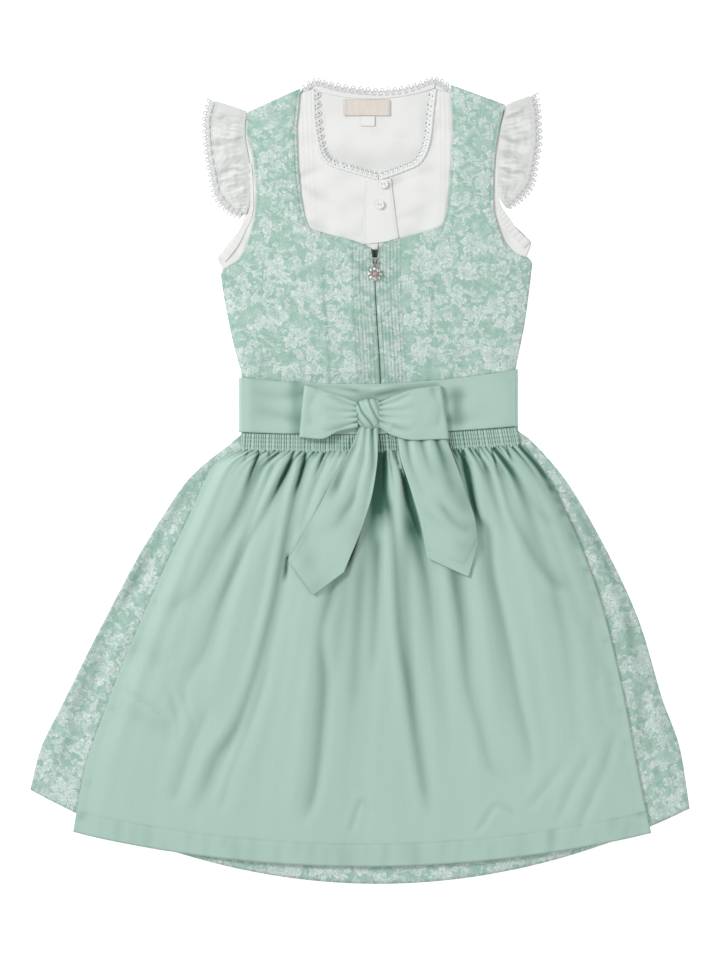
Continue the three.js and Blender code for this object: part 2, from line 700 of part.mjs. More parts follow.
const petals = Array.from({ length: 8 }, (_, i) => {
  const angle = (i * Math.PI) / 4;
  const petal = new THREE.SphereGeometry(1, 12, 8).scale(2.5, 1.7, 0.8).translate(4.5, 0, 0);
  return petal.rotateZ(angle).translate(SLIDER_X, FLOWER_Y, PIN_Z);
});
add(
  "zip_charm",
  joined([
    eye,
    block(1.2, 5.2, 1.1, SLIDER_X, SLIDER_Y - 3.6, PIN_Z),
    disc(3.2, 1.3, SLIDER_X, FLOWER_Y, PIN_Z - 0.65),
    ...petals,
  ]),
  METAL,
);
const stone = new THREE.SphereGeometry(2, 20, 12).scale(1, 1, 0.5);
add("charm_stone", stone.translate(SLIDER_X, FLOWER_Y, PIN_Z + 2), STONE);

export default group;
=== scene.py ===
import math

import bmesh
import bpy
import numpy as np
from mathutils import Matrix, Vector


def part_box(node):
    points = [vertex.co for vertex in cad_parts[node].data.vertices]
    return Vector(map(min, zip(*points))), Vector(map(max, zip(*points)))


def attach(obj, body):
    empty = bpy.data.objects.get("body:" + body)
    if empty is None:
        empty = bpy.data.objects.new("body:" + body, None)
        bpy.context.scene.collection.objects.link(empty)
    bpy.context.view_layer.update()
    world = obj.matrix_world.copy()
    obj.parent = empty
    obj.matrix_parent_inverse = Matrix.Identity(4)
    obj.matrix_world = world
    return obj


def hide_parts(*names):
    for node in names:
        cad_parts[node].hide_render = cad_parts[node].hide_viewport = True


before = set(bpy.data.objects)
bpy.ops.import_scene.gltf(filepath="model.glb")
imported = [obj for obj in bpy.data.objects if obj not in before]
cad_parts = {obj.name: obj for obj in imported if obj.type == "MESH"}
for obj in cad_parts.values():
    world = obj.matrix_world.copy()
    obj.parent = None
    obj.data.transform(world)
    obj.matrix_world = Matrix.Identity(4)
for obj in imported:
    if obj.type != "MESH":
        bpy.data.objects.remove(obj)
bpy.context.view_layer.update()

# A child's dirndl laid flat: blouse, brocade dress and apron. Lengths are in millimetres in the
# tables and functions below, and become metres when a piece's points are set.
MM = 0.001
bpy.ops.object.select_all(action="DESELECT")

CLOTH = 1.2
FINE = 1.0
GAP = 0.3
STEP = CLOTH + GAP


# ---------- camera, lights and floor ----------
def set_up_studio():
    scene = bpy.context.scene
    scene.view_settings.view_transform = "Standard"
    bpy.ops.object.camera_add(location=(0.0, 0.0, 2.677), rotation=(0, 0, 0))
    camera = bpy.context.object
    camera.data.lens = 100
    camera.data.sensor_width = 36
    camera.data.clip_end = 50
    scene.camera = camera

    world = scene.world or bpy.data.worlds.new("studio")
    scene.world = world
    world.use_nodes = True
    world.node_tree.nodes["Background"].inputs["Color"].default_value = (1, 1, 1, 1)
    world.node_tree.nodes["Background"].inputs["Strength"].default_value = 0.51

    lights = [  # place, width, power: a wide top light to the upper left, a weak one opposite
        ((-2.0, 1.25, 1.9), 0.8, 52.0),
        ((1.6, -0.9, 2.2), 1.5, 16.5),
    ]
    for place, width, power in lights:
        bpy.ops.object.light_add(type="AREA", location=place)
        lamp = bpy.context.object
        lamp.data.size = width
        lamp.data.energy = power
        away = -np.array(place)
        flat = math.hypot(away[0], away[1])
        lamp.rotation_euler = (math.atan2(flat, -away[2]), 0, math.atan2(-away[0], away[1]))

    bpy.ops.mesh.primitive_plane_add(size=40, location=(0, 0, -0.0004))
    floor = bpy.context.object
    floor.name = "studio_floor"
    floor.data.materials.append(paper_white())


# ---------- shader maths ----------
class Value:
    """A node socket that takes part in Python expressions."""

    def __init__(self, book, socket):
        self.book = book
        self.socket = socket

    def math(self, operation, *others):
        return self.book.node("ShaderNodeMath", {"operation": operation}, 0, self, *others)

    def __add__(self, other):
        return self.math("ADD", other)

    __radd__ = __add__

    def __sub__(self, other):
        return self.math("SUBTRACT", other)

    def __rsub__(self, other):
        return self.book.node("ShaderNodeMath", {"operation": "SUBTRACT"}, 0, other, self)

    def __mul__(self, other):
        return self.math("MULTIPLY", other)

    __rmul__ = __mul__

    def __truediv__(self, other):
        return self.math("DIVIDE", other)

    def __pow__(self, other):
        return self.math("POWER", other)

    def __neg__(self):
        return self.math("MULTIPLY", -1.0)

    def __abs__(self):
        return self.math("ABSOLUTE")


class Finish:
    """One material's node tree."""

    def __init__(self, name, **shader):
        self.material = bpy.data.materials.new(name)
        self.material.use_nodes = True
        self.tree = self.material.node_tree
        self.tree.nodes.clear()
        output = self.tree.nodes.new("ShaderNodeOutputMaterial")
        self.shader = self.tree.nodes.new("ShaderNodeBsdfPrincipled")
        self.tree.links.new(self.shader.outputs["BSDF"], output.inputs["Surface"])
        for socket, value in shader.items():
            self.shader.inputs[socket.replace("_", " ")].default_value = value

    def put(self, socket, value):
        if isinstance(value, Value):
            self.tree.links.new(value.socket, socket)
        elif value is not None:
            socket.default_value = value

    def node(self, kind, settings, output, *inputs, **named):
        made = self.tree.nodes.new(kind)
        for setting, value in settings.items():
            setattr(made, setting, value)
        for socket, value in zip(made.inputs, inputs):
            self.put(socket, value)
        for name, value in named.items():
            self.put(made.inputs[name.replace("_", " ")], value)
        return Value(self, made.outputs[output])

    def cloth_place(self):
        """The place on the cloth, in metres, as a vector."""
        return self.node("ShaderNodeUVMap", {"uv_map": "cloth"}, 0)

    def scaled(self, vector, factors, shift=(0, 0, 0)):
        moved = self.node("ShaderNodeVectorMath", {"operation": "ADD"}, 0, vector, shift)
        return self.node("ShaderNodeVectorMath", {"operation": "MULTIPLY"}, 0, moved, factors)

    def parts(self, vector):
        return [self.node("ShaderNodeSeparateXYZ", {}, i, vector) for i in range(2)]

    def noise(self, vector, scale, detail=2.0, roughness=0.5):
        return self.node(
            "ShaderNodeTexNoise", {}, "Fac", Vector=vector, Scale=scale, Detail=detail, Roughness=roughness
        )

    def steps(self, value, low, high):
        """0 below low, 1 above high, and a smooth rise between them."""
        return self.node(
            "ShaderNodeMapRange", {"interpolation_type": "SMOOTHSTEP"}, 0, value, low, high, 0.0, 1.0
        )

    def mix(self, share, first, second):
        made = self.tree.nodes.new("ShaderNodeMix")
        made.data_type = "RGBA"
        self.put(made.inputs["Factor"], share)
        self.put(made.inputs[6], first)
        self.put(made.inputs[7], second)
        return Value(self, made.outputs[2])

    def with_painted_shading(self, colour, shade, shade_share, light, light_share, curve=1.0):
        """A cloth's colour with painted shade in its creases and painted highlight along its ridges, set per
        point;
        a curve above 1 keeps the darkest painted shade for the tightest creases."""
        painted_shading = self.node("ShaderNodeAttribute", {"attribute_name": "painted_shading"}, "Fac")
        colour = self.mix(painted_shading.math("MAXIMUM", 0.0) ** curve * shade_share, colour, shade)
        return self.mix((-painted_shading).math("MAXIMUM", 0.0) * light_share, colour, light)

    def bump(self, height, strength, distance):
        normal = self.node("ShaderNodeBump", {}, 0, Height=height, Strength=strength, Distance=distance)
        self.put(self.shader.inputs["Normal"], normal)

    def colour(self, value):
        self.put(self.shader.inputs["Base Color"], value)


def tint(red, green, blue):
    """A shop colour on the 0 to 255 scale as the shader's own values."""
    shares = [((c / 255 + 0.055) / 1.055) ** 2.4 if c > 10 else c / 3294 for c in (red, green, blue)]
    return (*shares, 1.0)


def threads(finish, place, pitch):
    """Height of a plain weave whose threads are pitch metres apart."""
    turns = 2 * math.pi / pitch
    x, y = finish.parts(place)
    warp = (x * turns).math("SINE")
    weft = (y * turns).math("SINE")
    return warp * weft


def paper_white():
    finish = Finish("studio_paper", Roughness=0.9, Emission_Color=(1, 1, 1, 1), Emission_Strength=0.5)
    place = finish.node("ShaderNodeTexCoord", {}, "Object")
    grain = finish.noise(place, 90.0)
    finish.colour(finish.mix(grain, (0.93, 0.93, 0.93, 1), (0.97, 0.97, 0.97, 1)))
    return finish.material


def apron_cloth():
    finish = Finish("apron_twill", Roughness=0.5, Sheen_Weight=0.25, Sheen_Roughness=0.4)
    place = finish.cloth_place()
    soft = finish.noise(finish.scaled(place, (18, 6, 1)), 1.0, 4.0)
    slub = finish.noise(finish.scaled(place, (900, 60, 1)), 1.0, 3.0, 0.6)
    colour = finish.mix(soft, tint(166, 196, 183), tint(173, 203, 190))
    warp = finish.noise(finish.scaled(place, (420, 9, 1)), 1.0, 3.0, 0.6)
    colour = finish.mix(finish.steps(warp, 0.45, 0.75) * 0.3, colour, tint(184, 208, 190))
    colour = finish.mix(slub * 0.35, colour, tint(186, 212, 201))
    # painted shade in the creases and painted highlight on the ridges
    finish.colour(finish.with_painted_shading(colour, tint(24, 88, 68), 0.96, tint(192, 217, 207), 0.5, 1.35))
    finish.put(finish.shader.inputs["Roughness"], 0.54 + slub * 0.12)
    weave = threads(finish, place, 0.0007) * 0.6 + slub * 0.8
    finish.bump(weave, 0.25, 0.0003)
    return finish.material


def scattered(finish, place, size, looseness, shift):
    """A loose scatter of spots, size metres apart: x and y from the nearest spot's middle, how
    large that spot grows and which way it turns."""
    moved = finish.scaled(place, (1 / size, 1 / size, 0), shift)
    middle, chance = (
        finish.node(
            "ShaderNodeTexVoronoi", {"voronoi_dimensions": "2D"}, output,
            Vector=moved, Scale=1.0, Randomness=looseness,
        )
        for output in ("Position", "Color")
    )
    away = finish.node("ShaderNodeVectorMath", {"operation": "SUBTRACT"}, 0, moved, middle)
    return finish.parts(away) + finish.parts(chance)


def petals(finish, place, size, count, shift):
    """Scattered blossoms about size metres across: their mask, drawn lines and dark hearts."""
    x, y, lucky, turn = scattered(finish, place, size, 0.85, shift)
    radius = (x * x + y * y) ** 0.5
    angle = y.math("ARCTAN2", x) + turn * 6.28
    lobes = abs((angle * (count / 2)).math("COSINE")) ** 0.6
    rim = (0.30 + 0.26 * lucky) * (0.36 + lobes * 0.64)
    bloom = 1 - finish.steps(radius / rim, 0.80, 1.0)
    outline = finish.steps(radius / rim, 0.55, 0.8)
    lines = finish.steps((angle * (count * 2.5)).math("COSINE"), -0.2, 0.7)
    heart = finish.steps(radius, 0.05, 0.09) * (1 - finish.steps(radius, 0.11, 0.15))
    return bloom * (0.45 + outline * 0.35 + lines * 0.28 - heart * 0.4)


def leaves(finish, place, size, shift):
    """Scattered pointed leaves, bent to one side, with slanting veins."""
    x, y, lucky, turn = scattered(finish, place, size, 0.95, shift)
    sine, cosine = (turn * 6.28).math("SINE"), (turn * 6.28).math("COSINE")
    along = x * cosine + y * sine
    across = y * cosine - x * sine
    from_rib = abs(across + along * along * 0.5)
    blade = (0.10 + 0.10 * lucky) * (1 - (along / 0.46) ** 2.0) - from_rib
    veins = finish.steps(((along + abs(across)) * 55.0).math("SINE"), -0.3, 0.6)
    stalk = from_rib - 0.018
    blade = finish.steps(blade, 0.0, 0.03)
    return blade * (0.5 + veins * 0.35 - (1 - finish.steps(stalk, 0.0, 0.02)) * 0.3)


def brocade_cloth():
    finish = Finish("dress_brocade", Roughness=0.62, Sheen_Weight=0.2, Sheen_Roughness=0.5)
    place = finish.cloth_place()
    wander = finish.node(
        "ShaderNodeTexNoise", {}, "Color", Vector=place, Scale=95.0, Detail=4.0, Roughness=0.65
    )
    wander = finish.scaled(wander, (0.013, 0.013, 0), (-0.5, -0.5, 0))
    drawn = finish.node("ShaderNodeVectorMath", {"operation": "ADD"}, 0, place, wander)
    clumps = finish.noise(place, 34.0, 2.0, 0.5)
    blooms = petals(finish, drawn, 0.024, 5, (3.1, 1.7, 0))
    buds = petals(finish, drawn, 0.0105, 4, (7.7, 4.2, 0))
    foliage = leaves(finish, drawn, 0.017, (1.3, 9.4, 0))
    foliage = foliage.math("MAXIMUM", leaves(finish, drawn, 0.0095, (5.9, 2.8, 0)))
    gather = finish.steps(clumps, 0.38, 0.48)
    lone = finish.steps(finish.noise(drawn, 60.0, 2.0), 0.45, 0.50)
    hatch = finish.noise(finish.scaled(drawn, (520, 700, 1)), 1.0, 3.0, 0.7)
    scratch = finish.steps(hatch, 0.38, 0.55)
    curls = finish.noise(finish.scaled(drawn, (300, 260, 1)), 1.0, 1.0, 0.4)
    curls = 1 - finish.steps(abs(curls - 0.5), 0.012, 0.045)
    pattern = (blooms * (0.35 + 0.65 * gather)).math("MAXIMUM", buds * lone)
    pattern = pattern.math("MAXIMUM", foliage * (0.4 + 0.6 * gather))
    specks = finish.steps(hatch, 0.56, 0.66) * (0.18 + 0.5 * gather)
    veil = finish.steps(finish.noise(drawn, 150.0, 3.0, 0.6), 0.44, 0.62)
    pattern = (pattern * (0.55 + 0.5 * scratch)).math("MAXIMUM", specks)
    pattern = (pattern * (1 - curls * 0.4)).math("MAXIMUM", veil * 0.2)
    ground = finish.mix(clumps, tint(148, 186, 171), tint(163, 198, 185))
    ground = finish.mix(curls * gather * 0.5, ground, tint(134, 172, 157))
    colour = finish.mix(pattern, ground, tint(232, 239, 238))
    # painted shade in the creases and painted highlight on the ridges
    finish.colour(finish.with_painted_shading(colour, tint(96, 130, 117), 0.6, tint(214, 230, 225), 0.4))
    finish.put(finish.shader.inputs["Roughness"], 0.7 - pattern * 0.2)
    weave = threads(finish, place, 0.0009) * (0.5 + pattern * 0.4) + pattern * 1.4
    finish.bump(weave, 0.35, 0.0003)
    return finish.material


def cotton_cloth():
    finish = Finish("blouse_cotton", Roughness=0.8, Sheen_Weight=0.1)
    place = finish.cloth_place()
    soft = finish.noise(place, 30.0, 3.0)
    slub = finish.noise(finish.scaled(place, (700, 120, 1)), 1.0, 2.0)
    colour = finish.mix(soft, tint(229, 230, 227), tint(238, 239, 236))
    # painted shade in the creases and painted highlight on the ridges
    finish.colour(finish.with_painted_shading(colour, tint(168, 173, 174), 0.6, tint(250, 250, 248), 0.8))
    finish.put(finish.shader.inputs["Roughness"], 0.75 + slub * 0.1)
    finish.bump(threads(finish, place, 0.0006) + slub, 0.2, 0.0002)
    return finish.material


def lace_thread(name, low, high):
    """Lace cotton whose shade runs between two greys."""
    finish = Finish(name, Roughness=0.75)
    place = finish.cloth_place()
    twist = finish.noise(finish.scaled(place, (900, 900, 1)), 1.0, 2.0)
    finish.colour(finish.mix(twist, tint(low, low + 2, low + 2), tint(high, high + 1, high)))
    finish.bump(twist, 0.5, 0.0004)
    return finish.material


def label_cloth():
    """Blush woven tape: cross threads, small stitches down both short ends."""
    finish = Finish("label_tape", Roughness=0.6, Sheen_Weight=0.15)
    place = finish.cloth_place()
    x, y = finish.parts(place)
    crumple = finish.noise(finish.scaled(place, (220, 60, 1)), 1.0, 3.0)
    colour = finish.mix(crumple, tint(216, 205, 196), tint(236, 227, 218))
    seam = 1 - finish.steps(abs(abs(x) - 0.0212), 0.0002, 0.0005)
    stitches = seam * finish.steps((y * 4200.0).math("SINE"), -0.3, 0.3)
    rims = finish.steps(abs(y), 0.0072, 0.0078)
    colour = finish.mix(stitches * 0.7, colour, tint(176, 164, 156))
    finish.colour(finish.mix(rims * 0.35, colour, tint(196, 184, 175)))
    finish.bump(threads(finish, place, 0.0005) + stitches * 2 + crumple * 2, 0.3, 0.0003)
    return finish.material


def zip_cloth():
    """Green tape with a row of oxidised teeth down its middle."""
    finish = Finish("zip_tape_cloth", Roughness=0.6)
    place = finish.cloth_place()
    x, y = finish.parts(place)
    chain = 1 - finish.steps(abs(x), 0.0016, 0.0019)
    tooth = finish.steps((y * 4800.0 + x.math("SIGN") * 1.57).math("SINE"), -0.35, 0.1)
    teeth = chain * tooth
    cloth = finish.mix(finish.noise(place, 900.0), tint(88, 116, 104), tint(112, 142, 129))
    # painted shade in the crevices between the teeth
    painted_chain_shade = finish.mix(chain, cloth, tint(30, 34, 32))
    finish.colour(finish.mix(teeth, painted_chain_shade, tint(120, 116, 108)))
    finish.put(finish.shader.inputs["Metallic"], teeth)
    finish.put(finish.shader.inputs["Roughness"], 0.8 - teeth * 0.45)
    finish.bump(teeth * 3 + threads(finish, place, 0.0006), 0.5, 0.0004)
    return finish.material


def old_silver():
    """Antique silver: blackened where it is sheltered, rubbed bright on the raised rims."""
    finish = Finish("antique_silver", Metallic=1.0)
    place = finish.node("ShaderNodeTexCoord", {}, "Object")
    patina = finish.noise(place, 900.0, 4.0, 0.6)
    point = finish.node("ShaderNodeNewGeometry", {}, "Pointiness")
    raised = finish.steps(point, 0.47, 0.56)
    dark = finish.mix(patina, tint(52, 50, 48), tint(124, 121, 116))
    finish.colour(finish.mix(raised * (0.6 + patina * 0.4), dark, tint(240, 238, 233)))
    finish.put(finish.shader.inputs["Roughness"], 0.46 - raised * 0.16 + patina * 0.1)
    finish.bump(patina, 0.4, 0.0002)
    return finish.material


def rose_glass():
    """The small pink stone in the middle of the charm."""
    finish = Finish("rose_stone", Metallic=0.0, IOR=1.6, Coat_Weight=0.8, Coat_Roughness=0.05)
    place = finish.node("ShaderNodeTexCoord", {}, "Object")
    cloud = finish.noise(place, 700.0, 3.0)
    finish.colour(finish.mix(cloud, tint(168, 112, 104), tint(220, 182, 172)))
    finish.put(finish.shader.inputs["Roughness"], 0.1 + cloud * 0.12)
    return finish.material


def button_shell():
    """White shell: faint curved bands with a soft shine."""
    finish = Finish("button_shell", IOR=1.53, Coat_Weight=0.4, Coat_Roughness=0.12)
    place = finish.node("ShaderNodeTexCoord", {}, "Object")
    drift = finish.noise(place, 130.0, 2.0)
    x, y = finish.parts(place)
    bands = (x * 1700.0 + y * 900.0 + drift * 9.0).math("SINE") * 0.5 + 0.5
    colour = finish.mix(bands, tint(228, 228, 225), tint(247, 247, 244))
    finish.colour(finish.mix(drift * 0.3, colour, tint(226, 221, 216)))
    finish.put(finish.shader.inputs["Roughness"], 0.24 + bands * 0.12)
    finish.bump(bands, 0.15, 0.0002)
    return finish.material


# ---------- shapes ----------
def lerp(a, b, t):
    return a + (b - a) * t


def smooth(low, high, t):
    s = np.clip((np.asarray(t, float) - low) / (high - low), 0, 1)
    return s * s * (3 - 2 * s)


def bell(d):
    return np.exp(-np.square(d))


def through(points, t):
    """A smooth line through points that never swings past them; t from 0 to 1."""
    p = np.asarray(points, float)
    n = len(p) - 1
    rise = np.diff(p, axis=0)
    slope = np.empty_like(p)
    slope[0], slope[-1] = rise[0], rise[-1]
    product, total = rise[:-1] * rise[1:], rise[:-1] + rise[1:]
    slope[1:-1] = np.where(product > 0, 2 * product / np.where(total == 0, 1, total), 0)
    at = np.clip(t, 0, 1) * n
    i = np.minimum(at.astype(int), n - 1)
    s = (at - i)[..., None]
    bend = slope[i] + slope[i + 1] - 2 * rise[i]
    return p[i] + s * (slope[i] + s * (3 * rise[i] - 2 * slope[i] - slope[i + 1] + s * bend))


def ladder(rungs, tip=None):
    """A panel's outline: each rung is left x, left y, right x, right y, sag towards -Y. A tip is
    the share across at which the last rung is pointed, and how far it reaches."""
    rungs = [tuple(r) + (0,) * (5 - len(r)) for r in rungs]

    def outline(u, v):
        line = through(rungs, v)
        x0, y0, x1, y1, sag = (line[..., k] for k in range(5))
        x = lerp(x0, x1, u)
        y = lerp(y0, y1, u) - sag * 4 * u * (1 - u)
        if tip:
            at, reach = tip
            share = np.where(u < at, u / at, (1 - u) / (1 - at))
            share = share * smooth(1 - 1 / (len(rungs) - 1), 1, v)
            length = np.hypot(x1 - x0, y1 - y0)
            x = x + share * reach * (y1 - y0) / length
            y = y - share * reach * (x1 - x0) / length
        return x, y

    return outline


def near_line(x, y, line):
    """Distance of each point to a line, with its side as the sign, the share along the line and
    how far the point lies past either end."""
    count = 80
    steps = through(line, np.linspace(0, 1, count + 1))
    px, py = x.ravel(), y.ravel()
    nearest = np.zeros(px.size, int)
    best = np.full(px.size, np.inf)
    for k, (sx, sy) in enumerate(steps):
        away = (px - sx) ** 2 + (py - sy) ** 2
        closer = away < best
        best[closer] = away[closer]
        nearest[closer] = k
    tangent = np.gradient(steps, axis=0)[nearest]
    dx, dy = px - steps[nearest, 0], py - steps[nearest, 1]
    length = np.hypot(tangent[:, 0], tangent[:, 1])
    side = (tangent[:, 0] * dy - tangent[:, 1] * dx) / length
    beyond = (tangent[:, 0] * dx + tangent[:, 1] * dy) / length
    past = np.where(nearest == 0, -beyond, np.where(nearest == count, beyond, 0)).clip(0)
    along = np.clip((nearest + beyond / length) / count, 0, 1)
    return [part.reshape(x.shape) for part in (side, along, past)]


def fold(x, y, line, width, depth, shoulder, lean):
    """A soft trough along a line with a rounded shoulder on each side. width and depth are given
    at both ends; lean sharpens its left or right wall."""
    distance, along, past = near_line(x, y, line)
    reach = lerp(width[0], width[1], along) * np.where(distance > 0, 1 + lean, 1 - lean)
    deep = lerp(depth[0], depth[1], along) * smooth(1, 0.8, along) * bell(past / (2.5 * width[0]))
    d = distance / reach
    shoulders = bell((d - 2) / 1.2) + bell((d + 2) / 1.2)
    return -deep * np.exp(-np.abs(d) ** 1.5) + shoulder * np.abs(deep) * shoulders


def folds(x, y, table, shoulder=0.35, narrow=1.0):
    """The height that a table of folds gives. A row is a line, half widths and depths at its two
    ends and, where they differ from the table's, its own shoulder and lean."""
    total = np.zeros_like(x)
    for line, width, depth, *own in table:
        own += [shoulder, 0.0][len(own):]
        total += fold(x, y, line, (width[0], width[1] * narrow), depth, *own)
    return total


def rumple(x, y, size, seed):
    """Slow, smooth unevenness of about one millimetre for a height of 1."""
    rng = np.random.default_rng(seed)
    total = np.zeros_like(x)
    for _ in range(7):
        angle = rng.uniform(0, math.pi)
        wave = size * rng.uniform(0.6, 1.7)
        along = x * math.cos(angle) + y * math.sin(angle)
        total += np.sin(along * 2 * math.pi / wave + rng.uniform(0, 6.3))
    return total / 7


def doubled(outline, u, v, turn):
    """A sheet folded in two: v up to one half is the lower layer, from there the upper one. Gives
    the side s, the share t from the open edge to the fold, x, y, and a function that bends the
    fold into a half round once both layers' heights are known."""
    s = 2 * v - 1
    t = np.clip((1 - np.abs(s)) / (1 - turn), 0, 1)
    x, y = outline(u, t)

    def bent(low, high):
        near_x, near_y = outline(u, 0.97 + 0 * t)
        length = np.hypot(x - near_x, y - near_y) + 1e-9
        radius = (high - low) / 2
        angle = np.clip(s / turn, -1, 1) * math.pi / 2
        in_bend = np.abs(s) <= turn
        out = np.where(in_bend, radius * np.cos(angle) / length, 0)
        z = np.where(in_bend, low + radius + radius * np.sin(angle), np.where(s < 0, low, high))
        return x + (x - near_x) * out, y + (y - near_y) * out, z

    return s, t, x, y, bent


# ---------- making a piece ----------
def select_only(piece):
    bpy.ops.object.select_all(action="DESELECT")
    piece.select_set(True)
    bpy.context.view_layer.objects.active = piece


def thicken(piece, wall):
    """Gives a sheet its wall, downwards."""
    solidify = piece.modifiers.new("wall", "SOLIDIFY")
    solidify.thickness = wall * MM
    solidify.offset = -1
    select_only(piece)
    bpy.ops.object.modifier_apply(modifier="wall")


def finish_piece(piece, name, cloth, node):
    """Names a piece, gives it its cloth, hangs it on the garment body and hides the part it stands for."""
    material, slot = cloth
    piece.name = name
    piece.data.name = name
    piece.data.materials.clear()
    piece.data.materials.append(material)
    select_only(piece)
    bpy.ops.object.shade_smooth()
    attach(piece, "garment")
    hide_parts(node)


def spread(counts):
    """Shares from 0 to 1 with their own spacing: [(end share, steps to it), ...]."""
    shares = [0.0]
    for end, steps in counts:
        shares += list(np.linspace(shares[-1], end, steps + 1)[1:])
    return np.array(shares)


def panel(name, surface, us, vs, wall, cloth, node, sheet, cloth_map=None, drop=None, turn_up=True):
    """A sheet of cloth: a grid whose points follow surface(u, v), then given its wall downwards.
    surface returns x, y, z and each point's painted shade (above 0) or painted highlight (below 0),
    kept on the points for the cloth's colour. cloth is a material and its slot. drop(i, j) leaves squares
    out. turn_up makes the middle of the sheet face up."""
    columns = us if isinstance(us, np.ndarray) else np.linspace(0, 1, us + 1)
    rows = vs if isinstance(vs, np.ndarray) else np.linspace(0, 1, vs + 1)
    bpy.ops.mesh.primitive_grid_add(
        x_subdivisions=len(columns) - 1, y_subdivisions=len(rows) - 1, size=1, calc_uvs=True
    )
    piece = bpy.context.object
    mesh = piece.data
    count = len(mesh.vertices)
    flat = np.empty(count * 3)
    mesh.vertices.foreach_get("co", flat)
    flat = flat.reshape(-1, 3)
    i = np.rint((flat[:, 0] + 0.5) * (len(columns) - 1)).astype(int)
    j = np.rint((flat[:, 1] + 0.5) * (len(rows) - 1)).astype(int)
    u, v = columns[i], rows[j]
    x, y, z, deep = surface(u, v)
    mesh.vertices.foreach_set("co", (np.column_stack([x, y, z]) * MM).ravel())
    # each point's painted shade (above 0) and painted highlight (below 0), read by its cloth's colour
    painted_shading = mesh.attributes.new("painted_shading", "FLOAT", "POINT")
    painted_shading.data.foreach_set("value", np.clip(deep, -1, 1).astype(np.float32))
    mesh.uv_layers[0].name = "cloth"
    corner = np.empty(len(mesh.loops), int)
    mesh.loops.foreach_get("vertex_index", corner)
    places = np.column_stack(cloth_map(u, v, x, y) if cloth_map else (x, y)) * MM
    mesh.uv_layers["cloth"].data.foreach_set("uv", places[corner].ravel())
    mesh.update()
    if drop:
        bpy.ops.object.mode_set(mode="EDIT")
        shape = bmesh.from_edit_mesh(mesh)
        holes = []
        for face in shape.faces:
            corners = [vert.index for vert in face.verts]
            if drop(min(i[c] for c in corners), min(j[c] for c in corners)):
                holes.append(face)
        bmesh.ops.delete(shape, geom=holes, context="FACES")
        bmesh.update_edit_mesh(mesh)
        bpy.ops.object.mode_set(mode="OBJECT")
    if turn_up and mesh.polygons[len(mesh.polygons) // 2].normal.z < 0:
        mesh.flip_normals()
    thicken(piece, wall)
    finish_piece(piece, name, cloth, node)


def laid(width, length, area, on=(), held="laid"):
    """The flat cut of a sheet, from its size in millimetres and its area in square millimetres."""
    flat = (width * MM, length * MM)
    return {"flat": flat, "held": held, "rests_on": list(on), "area": area * MM * MM}


def on_cut(width, length):
    """Cloth that runs straight along a cut of this size."""
    return lambda u, v, x, y: (u * width, v * length)


# ---------- outlines and heights shared with the solids ----------
SASH_LOW, SASH_HIGH, SASH_RAMP = 46, 104, 9
SASH_LEFT, SASH_RIGHT = -121.5, 158.5
BLOUSE_BACK = STEP
BLOUSE_FRONT = BLOUSE_BACK + FINE + GAP
BODICE_FRONT = BLOUSE_FRONT + FINE + GAP
SKIRT_FRONT = STEP + 0.3
ON_BLOUSE = BODICE_FRONT
SKIRT_LOFT = 1.5
BODICE_LOFT, WAIST_LOFT = 2.6, 0.6
APRON_LOFT, APRON_HEM_LOFT = 7.4, 2.4
SASH_EDGE, SASH_SIDE, SASH_OVER_SIDE, SASH_FRONT = 2.2, STEP, 5.2, 6.6
BOW = SASH_FRONT + CLOTH + GAP + 0.1
FRILL_TOP = 5.6
MIDDLE = 18
SKIRT_WIDTH, SKIRT_LENGTH, SKIRT_HEM = 560, 418, 22
APRON_WIDTH, APRON_LENGTH, APRON_HEM, APRON_SIDE_HEM = 560, 380, 24, 9
SASH_DEPTH = 52

skirt_outline = ladder([
    (-330.7, -310.5, 330.6, -329.5, 84.5), (-321, -272, 321, -270, 78), (-296, -220, 303, -219, 68),
    (-257, -142, 280, -142, 48), (-212, -59, 240, -57, 26), (-168, 5, 203, 4, 8),
    (-128, 38, 172, 39, 1), (-118.8, 47.5, 156.2, 53.5), (-117, 74, 154, 78),
])
apron_outline = ladder([
    (-287.3, -352.4, 291.6, -353.5, 34), (-277, -295, 279, -294, 30), (-252, -221, 264, -215, 24),
    (-212, -124, 241, -121, 17), (-176, -46, 211, -42, 9), (-144, 17, 185, 8, 3), (-120, 31, 162, 36, 4),
])
smock_outline = ladder([(-120, 31.3, 160, 36.3, 4), (-119, 46.8, 156.5, 52.5, 4.2)])
sash_front_outline = ladder([(-121.5, 48, 158.5, 54, 5), (-121.5, 103, 158.5, 111, 10.5)])
sash_back_outline = ladder([(-121.5, 49, 158.5, 49), (-121.5, 102, 158.5, 102)])
bodice_left_outline = ladder([
    (-117, 74.3, 21.7, 76.4), (-118.6, 104, 20, 106), (-124, 125, 19, 126), (-131, 155, 16.4, 164),
    (-139.3, 205.7, 14.6, 203), (-121.6, 221, 12.8, 229.5), (-111.5, 240, -4, 239),
    (-106.3, 259.5, -34, 246.5), (-104.4, 272, -50, 251.5), (-103.8, 285, -56, 266),
    (-106.3, 320.5, -62.5, 318), (-113.3, 348.5, -63.5, 350), (-113, 368.5, -59.5, 392.4),
])
bodice_right_outline = ladder([
    (22.3, 76.4, 154, 78.4), (20.6, 106, 155.4, 106), (19.6, 126, 158.8, 125), (17, 164, 165.6, 160),
    (15.4, 203, 172.4, 216.6), (17.4, 229, 154.3, 228.7), (24, 237.4, 143.6, 240.8),
    (60, 247, 136.9, 260.8), (83, 256.5, 134.2, 270), (87.4, 276, 133.3, 284),
    (91.5, 322, 134.6, 320), (92.8, 360, 139, 350), (90.7, 396, 145.5, 376),
])
